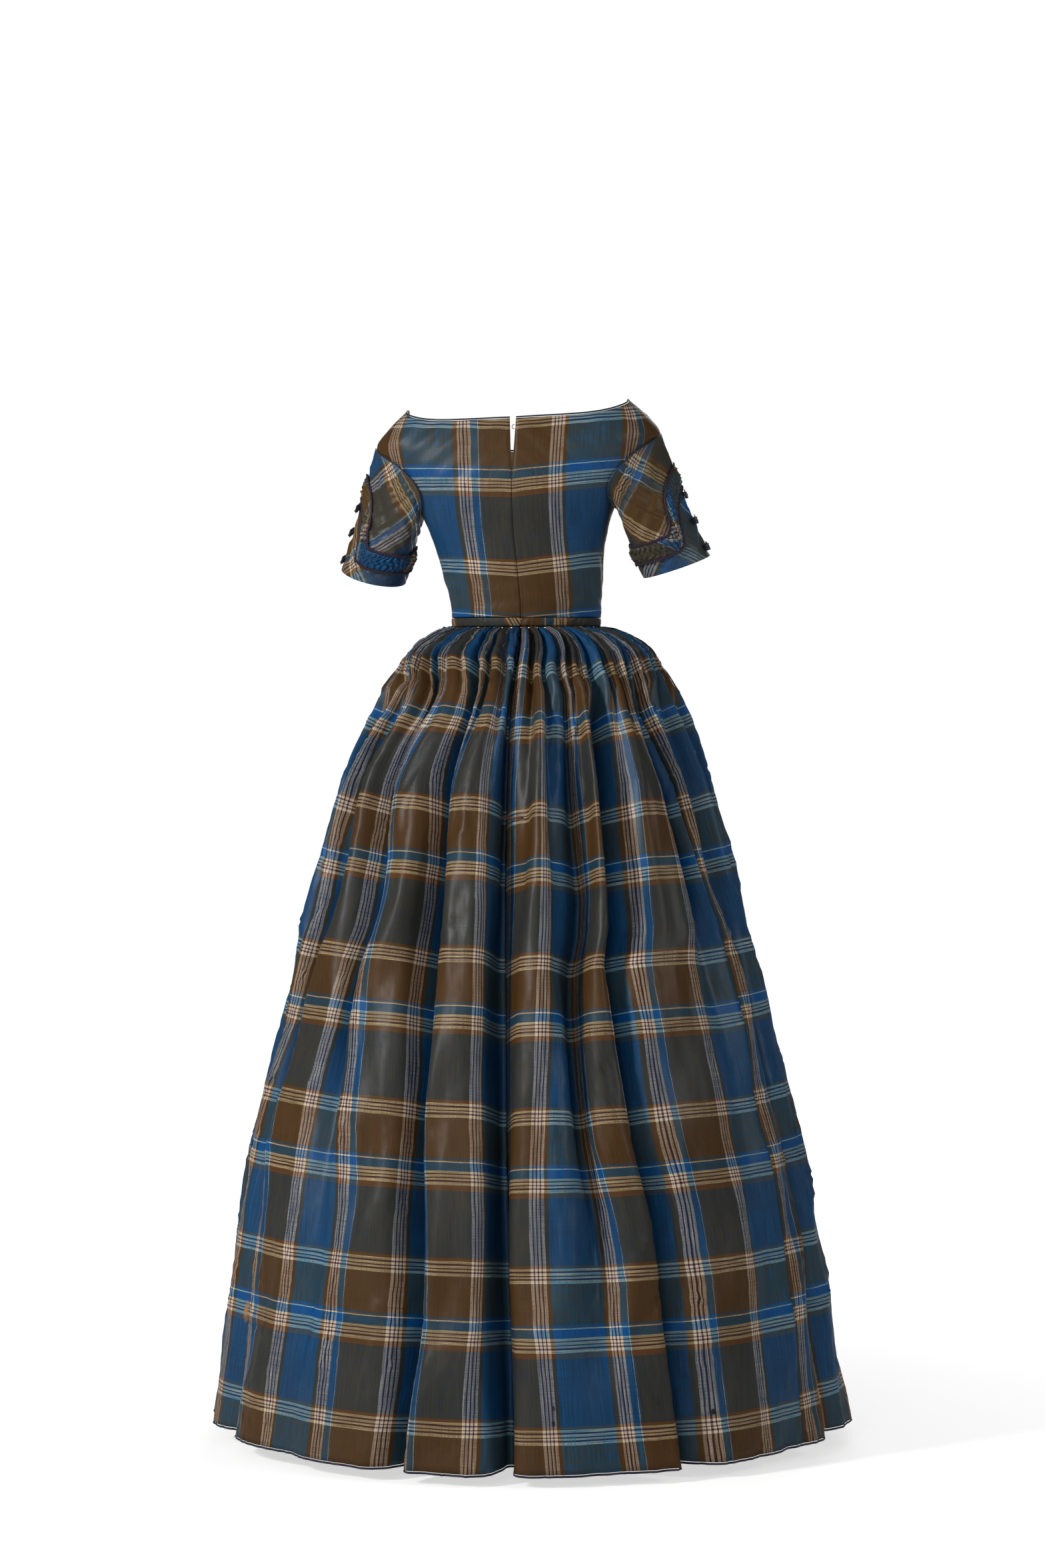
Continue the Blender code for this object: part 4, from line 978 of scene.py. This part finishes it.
def make_bands():
    """A bias strip gathered on both edges: narrow crumpled puffs between the two braids."""
    rows, count = 26, 560
    for side, sign in SIDES.items():
        high, face, up, girth, degrees = trim_line(side, UPPER_BRAID, count)
        turned = np.minimum(degrees, 360 - degrees)
        low, low_face = sleeve_place(side, degrees, smooth_curve(BAND_ANGLES, LOWER_BRAID, turned))
        margin = 0.0016
        run = np.linspace(0, girth, count, endpoint=False)
        across = np.linspace(0, 1, rows)[:, None]
        top, foot = high - up * margin, low + up * margin
        width = np.linalg.norm(top - foot, axis=1)[None, :]
        height = across * width
        seed = 120 + 7 * sign
        wander = ripple(run[None, :], height, 0.050, 0.020, seed) * 0.0034
        phase = (run[None, :] + wander) * 2 * np.pi / (girth / round(girth / 0.0066))
        uneven = ripple(run[None, :], height, 0.03, 0.02, seed + 1)
        ruffle = np.sin(phase) + 0.45 * np.sin(phase * 2 + 3 * uneven)
        arch = np.sin(np.pi * across) ** 0.55
        puff = 0.0014 + 0.0026 * arch + 0.0013 * ruffle * (0.35 + 0.65 * arch)
        puff = puff + 0.0006 * ripple(run[None, :], height, 0.007, 0.006, seed + 2) * arch
        middle = top[None] * (1 - across[..., None]) + foot[None] * across[..., None]
        facing = unit(face[None] * (1 - across[..., None]) + low_face[None] * across[..., None])
        points = middle + facing * puff[..., None]
        steps = np.linalg.norm(np.roll(points, -1, axis=1) - points, axis=2).mean(axis=0)
        lay = np.concatenate([[0], np.cumsum(steps)])[None, :]
        drops = np.linalg.norm(np.diff(points, axis=0), axis=2)
        down = np.concatenate([np.zeros((1, count)), np.cumsum(drops, axis=0)])
        down = np.concatenate([down, down[:, :1]], axis=1)
        start = 0.020 if side == "left" else 0.105
        cloth = np.stack([start + (lay + down) * 0.707, 0.12 + (lay - down) * 0.707], axis=-1)
        if np.sum(np.cross(points[1, 0] - points[0, 0], points[0, 1] - points[0, 0]) * facing[0, 0]) < 0:
            points, cloth = points[:, ::-1], cloth[:, ::-1]
        piece = sheet_mesh(f"gathered_band_{side}", points, cloth, True, SLEEVE_SILK, BAND_WALL)
        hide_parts(f"sleeve_band_{side}")


FINE_SLEEVES = {side: fine_sleeve(side) for side in SIDES}


# Cords and braids

def strand(path, facing, half_wide, half_thick, closed=False, sides=6, material=0):
    """A cord along a path. Its flat side faces the way given."""
    along = np.roll(path, -1, axis=0) - np.roll(path, 1, axis=0) if closed else np.gradient(path, axis=0)
    wide = unit(np.cross(np.broadcast_to(facing, path.shape), along))
    out = unit(np.cross(along, wide))
    turn = np.linspace(0, 2 * np.pi, sides, endpoint=False)[None, :, None]
    rings = path[:, None] + wide[:, None] * np.cos(turn) * half_wide
    return rings + out[:, None] * np.sin(turn) * half_thick, closed, material


def cord_piece(name, strands, materials, replaced=None):
    """One piece of several strands, each with the number of its material."""
    points, faces, marks = [], [], []
    for rings, closed, material in strands:
        start, (rows, sides) = sum(len(group) for group in points), rings.shape[:2]
        points.append(rings.reshape(-1, 3))
        row, col = np.meshgrid(np.arange(rows if closed else rows - 1), np.arange(sides), indexing="ij")
        row, col = row.ravel(), col.ravel()
        after, beside = (row + 1) % rows * sides, (col + 1) % sides
        corners = [row * sides + col, row * sides + beside, after + beside, after + col]
        added = (np.stack(corners, axis=1) + start).tolist()
        if not closed:
            added.append([start + k for k in range(sides)][::-1])
            added.append([start + (rows - 1) * sides + k for k in range(sides)])
        faces += added
        marks += [material] * len(added)
    mesh = bpy.data.meshes.new(name)
    mesh.from_pydata(np.concatenate(points).tolist(), [], faces)
    piece = finish_piece(name, mesh, materials[0])
    for extra in materials[1:]:
        mesh.materials.append(extra)
    mesh.polygons.foreach_set("material_index", marks)
    if replaced:
        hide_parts(replaced)


def make_braids():
    """Narrow crimson braid with navy loops that stand out from both of its edges."""
    for side, sign in SIDES.items():
        for level, heights in (("upper", UPPER_BRAID), ("lower", LOWER_BRAID)):
            line, face, up, girth, _ = trim_line(side, heights, BRAID_POINTS)
            run = np.arange(BRAID_POINTS) / BRAID_POINTS * girth
            sway = (ripple(run[None, :], run[None, :], 0.03, 0.05, 7 + sign)[0] * 0.0004)[:, None]
            core = line + face * BRAID_LIFT + up * sway
            turns = int(round(girth / PICOT_SPACING))
            count = turns * POINTS_A_PICOT
            at = np.arange(count) / count
            where = at * BRAID_POINTS
            low, share = np.floor(where).astype(int) % BRAID_POINTS, (where - np.floor(where))[:, None]
            follow = (low + 1) % BRAID_POINTS
            centre, out, rise = (each[low] * (1 - share) + each[follow] * share for each in (core, face, up))
            out, rise = unit(out), unit(rise)
            uneven = 1 + 0.16 * ripple(at[None, :] * girth, at[None, :], 0.006, 1, 11 + sign)[0]
            phase = at * turns * 2 * np.pi
            swing = np.sin(phase) * 0.0023 * uneven
            bulge = np.cos(phase * 2) * 0.0005 + 0.0005
            picot = centre + rise * swing[:, None] + out * bulge[:, None]
            strands = [
                strand(core, face, 0.0012, 0.0006, True, 6, 0),
                strand(picot, out, 0.00052, 0.00045, True, 5, 1),
            ]
            colours, node = (CRIMSON, NAVY), f"{level}_braid_{side}"
            cord_piece(f"picot_{level}_{side}", strands, colours, node)


def make_bows():
    """Small bows of flat braid: two loops, a knot and two fringed ends."""
    for side, sign in SIDES.items():
        for number, height in enumerate(BOW_HEIGHTS[side], start=1):
            points, facing = sleeve_place(side, np.array([0.0, 8.0]), np.array([height, height]))
            centre, out = points[0], facing[0]
            across = unit(points[1] - points[0])
            across = unit(across - out * np.dot(across, out))
            up = np.cross(out, across)
            centre = centre + out * BOW_LIFT
            noise = np.random.default_rng(500 + 10 * number + sign)
            strands = []
            for hand in (-1, 1):
                turn = np.linspace(-0.93 * np.pi, 0.93 * np.pi, 15)[:, None]
                droop = noise.uniform(-0.0015, 0.0005)
                far = centre + across * hand * 0.0054 + up * droop
                loop = far + across * hand * 0.0050 * np.cos(turn) + out * (0.0012 + 0.0013 * np.sin(turn))
                loop = loop + up * 0.0010 * np.sin(turn)
                strands.append(strand(loop, up, 0.0007, 0.0040, False, 8, 0))
                lean = noise.uniform(0.4, 0.9)
                way = unit(across * hand * lean - up * 0.8)
                steps = np.linspace(0, 0.0062, 6)[:, None]
                tail = centre + way * steps + out * (0.0010 + 0.10 * steps)
                strands.append(strand(tail, out, 0.0019, 0.0005, False, 6, 0))
                beside = unit(np.cross(out, way))
                for k in np.linspace(-1, 1, 7):
                    reach = noise.uniform(0.0018, 0.0034)
                    spread = beside * k * 0.0016 + out * noise.uniform(0, 0.0006)
                    thread = tail[-1] + spread + way * np.linspace(-0.001, reach, 4)[:, None]
                    thread = thread + beside * k * 0.0010 * np.linspace(0, 1, 4)[:, None] ** 2
                    strands.append(strand(thread, out, 0.00022, 0.00022, False, 4, 1))
            ring = np.linspace(0, 2 * np.pi, 10, endpoint=False)[:, None]
            knot = centre + out * (0.0016 + 0.0020 * np.sin(ring)) + up * 0.0030 * np.cos(ring)
            strands.append(strand(knot, across, 0.0005, 0.0016, True, 6, 0))
            colours, node = (NAVY, FRINGE), f"bow_{side}_{number}"
            cord_piece(f"tied_bow_{side}_{number}", strands, colours, node)


def smoothed(path, reach, closed):
    """Each point moved to the mean of its near neighbours, so that a cord turns a corner softly."""
    padded = np.pad(path, ((reach, reach), (0, 0)), mode="wrap" if closed else "edge")
    mean = np.mean([padded[i : i + len(path)] for i in range(2 * reach + 1)], axis=0)
    return mean if closed else np.vstack([path[:1], mean[1:-1], path[-1:]])


def make_pipings():
    """Covered cord at the neck and the armholes, and the braid that binds the hem."""
    first = back_edge(np.array([1.0]))[0]
    angles = np.linspace(first, 360 - first, 420)
    edge, outward = bodice_points(angles, np.ones(420)), torso_normals(angles, np.ones(420))
    up = unit(np.cross(outward, np.gradient(edge, axis=0)))
    up = up * np.sign(up[:, 2:])
    neck = smoothed(pose(edge + up * NECK_CORD_RISE), 2, False)
    cords = [strand(neck, outward, CORD_RADIUS, CORD_RADIUS, False, 8)]
    cord_piece("neck_cord", cords, (PIPED_SILK,), "neck_piping")
    for side in SIDES:
        ring, normals, off = armhole_ring(side, 160)
        path = pose(ring + normals * ARMHOLE_CORD_OUT - off * ARMHOLE_CORD_BACK)
        cords = [strand(smoothed(path, 5, True), normals, CORD_RADIUS, CORD_RADIUS, True, 8)]
        cord_piece(f"armhole_cord_{side}", cords, (PIPED_SILK,), f"armhole_piping_{side}")
    down = np.array([SKIRT_LENGTH])
    cloth = np.linspace(0, SKIRT_CLOTH, 1500, endpoint=False)
    hem = skirt_surface(cloth, down)[0]
    level = np.roll(hem, -1, axis=0) - np.roll(hem, 1, axis=0)
    outward = unit(np.stack([level[:, 1], -level[:, 0], np.zeros(len(hem))], axis=1))
    path = hem - [0, 0, HEM_BRAID_DROP]
    binding = [strand(path, outward, 0.0014, 0.0009, True, 6)]
    cord_piece("hem_braid", binding, (NAVY,), "hem_binding")


def make_waistband():
    rows, columns, top, foot = 9, 480, 0.0117, 0.0012
    angles = np.linspace(0.2, 359.8, columns)
    heights = np.linspace(top, foot, rows)
    flat = np.stack([torso_points(angles, np.full(columns, height)) for height in heights])
    across = lengths_across(flat)
    down = (top - heights)[:, None] + 0 * across
    normals = grid_normals(flat, False)
    normals = normals * np.sign(np.sum(normals[4, 240] * (flat[4, 240] - (0, 0, 0.005))))
    pulls = ripple(across, down, 0.012, 0.02, 33) * 0.00030 + ripple(across, down, 0.05, 0.05, 34) * 0.00030
    edges = np.cos(np.linspace(-1, 1, rows) * np.pi / 2)[:, None]
    points = pose(flat + normals * (pulls + edges * 0.0005)[..., None])
    cloth = np.stack([0.050 + down, 0.128 + across], axis=-1)
    piece = sheet_mesh("waistband_silk", points, cloth, False, BODICE_SILK, WAISTBAND_WALL)
    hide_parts("waistband")


def on_skirt(cloth, down):
    """A point of the skirt at the place given on its cloth, and the way the cloth faces there."""
    beside = np.array([cloth, cloth + 0.002]) % SKIRT_CLOTH
    order = np.argsort(beside)
    found = skirt_surface(beside[order], np.array([down, down + 0.002]))[:, np.argsort(order)]
    facing = unit(np.cross(found[1, 0] - found[0, 0], found[0, 1] - found[0, 0]))
    return found[0, 0], facing


def make_closing_details():
    """The thread loop at the neck, the tack at the foot of the placket and the placket's stitches."""
    share = (LOOP_HEIGHT - BODICE_FOOT) / (NECK_HEIGHTS[0] - BODICE_FOOT)
    edge = bodice_points(back_edge(np.array([share])), np.array([share]))[0]
    turn = np.linspace(-np.pi / 2, np.pi / 2, 13)
    reach = edge[0] * 1.5
    beside, above = edge[0] - 0.0012 - reach * np.cos(turn) * 0.6, edge[2] + 0.003 * np.sin(turn)
    loop = np.stack([beside, np.full(13, edge[1]), above], axis=1)
    cords = [strand(pose(loop), (0, -1, 0), 0.0005, 0.0005, False, 6)]
    cord_piece("neck_loop", cords, (THREAD,), "back_loop")
    tack, tack_route = [], ((3.381, 0.2935), (0.0342, 0.2950), (0.0489, 0.2960))
    for k in range(4):
        fall = 0.0006 * k
        stops = [on_skirt(cloth, down + fall) for cloth, down in tack_route]
        path = np.stack([point + facing * 0.0010 for point, facing in stops])
        tack.append(strand(path, (0, -1, 0), 0.00045, 0.00045, False, 5))
    cord_piece("placket_tack", tack, (RUST_THREAD,))
    stitches = []
    for k in range(5):
        for place in (0.0265, 0.0320):
            top, facing = on_skirt(place, 0.016 + 0.013 * k)
            foot = on_skirt(place, 0.0205 + 0.013 * k)[0]
            path = np.stack([top, (top + foot) / 2 + facing * 0.0003, foot]) + facing * 0.0007
            stitches.append(strand(path, facing, 0.0003, 0.0003, False, 5))
    cord_piece("placket_stitches", stitches, (THREAD,))


make_skirt()
make_backs()
make_front()
make_sleeves()
make_bands()
make_braids()
make_bows()
make_pipings()
make_waistband()
make_closing_details()


# Light, floor and camera

# name, place, height that it is aimed at, size, power
SOFTBOXES = (
    ("key softbox", (-3.9, -3.4, 2.3), -0.3, 0.9, 165),
    ("front softbox", (-0.6, -5.2, 1.4), -0.4, 2.2, 26),
    ("fill softbox", (4.0, -1.6, 1.4), -0.4, 1.4, 30),
    ("rim softbox", (0.4, 4.2, 1.2), -0.3, 2.6, 45),
)
FLOOR_HEIGHT, FLOOR_RADIUS = -1.0645, 9
# The camera, at the photo's angle
FOCAL_LENGTH, SENSOR_WIDTH = 100.85, 36
CAMERA_AROUND, CAMERA_DISTANCE, CAMERA_HEIGHT = math.radians(5), 5.8, -0.065
DEGREES_BELOW_LEVEL = 1.4
# Pixels from the photo's middle to the waist's middle, and the focal length in the photo's pixels
WAIST_OFFSET_PX, FOCAL_LENGTH_PX = 6, 6589


def soft_light(name, place, aim, size, power):
    light = bpy.data.lights.new(name, "AREA")
    light.shape, light.size, light.energy = "DISK", size, power
    lamp = bpy.data.objects.new(name, light)
    lamp.location = place
    lamp.rotation_euler = (Vector(aim) - Vector(place)).to_track_quat("-Z", "Y").to_euler()
    bpy.context.scene.collection.objects.link(lamp)


def make_studio():
    world = bpy.data.worlds.new("pale studio")
    bpy.context.scene.world = world
    world.use_nodes = True
    tree = world.node_tree
    tree.nodes["Background"].inputs[0].default_value = (1, 1, 1, 1)
    seen = tree.nodes.new("ShaderNodeLightPath").outputs["Is Camera Ray"]
    tree.links.new(ranged(tree, seen, 0, 1, 0.12, 1.0), tree.nodes["Background"].inputs[1])
    bpy.context.scene.view_settings.view_transform = "Standard"
    bpy.ops.object.select_all(action="DESELECT")
    middle = (0, 0, FLOOR_HEIGHT)
    bpy.ops.mesh.primitive_circle_add(vertices=96, radius=FLOOR_RADIUS, fill_type="NGON", location=middle)
    floor = bpy.context.object
    floor.name = "studio_floor"
    bpy.ops.object.transform_apply(location=True)
    material, tree, shader = new_material("pale studio floor")
    place = tree.nodes.new("ShaderNodeTexCoord")
    grain = stretched_noise(tree, place.outputs["Object"], 3, 3.0)
    colour = mixed_colour(tree, grain, (0.86, 0.86, 0.855), (0.90, 0.90, 0.895))
    tree.links.new(colour, shader.inputs["Base Color"])
    shader.inputs["Roughness"].default_value = 0.75
    shader.inputs["Emission Color"].default_value = (1, 1, 1, 1)
    # The floor glows for the camera only, 0.62 near the dress rising to 0.96 far off: a painted glow with a
    # painted shadow under the skirt
    far = vector_node(tree, "LENGTH", place.outputs["Object"], result="Value")
    seen = tree.nodes.new("ShaderNodeLightPath").outputs["Is Camera Ray"]
    glow_with_painted_shadow = math_node(tree, "MULTIPLY", ranged(tree, far, 1.15, 2.6, 0.62, 0.96), seen)
    tree.links.new(glow_with_painted_shadow, shader.inputs["Emission Strength"])
    floor.data.materials.append(material)
    for name, place, aim_height, size, power in SOFTBOXES:
        soft_light(name, place, (0, 0, aim_height), size, power)


def make_camera():
    camera = bpy.data.cameras.new("camera")
    camera.lens, camera.sensor_width = FOCAL_LENGTH, SENSOR_WIDTH
    holder = bpy.data.objects.new("camera", camera)
    beside, behind = CAMERA_DISTANCE * math.sin(CAMERA_AROUND), -CAMERA_DISTANCE * math.cos(CAMERA_AROUND)
    holder.location = (beside, behind, CAMERA_HEIGHT)
    aside = math.atan(WAIST_OFFSET_PX / FOCAL_LENGTH_PX)
    holder.rotation_euler = Euler((math.radians(90 - DEGREES_BELOW_LEVEL), 0, CAMERA_AROUND + aside))
    bpy.context.scene.collection.objects.link(holder)
    bpy.context.scene.camera = holder


make_studio()
make_camera()
bpy.context.view_layer.update()
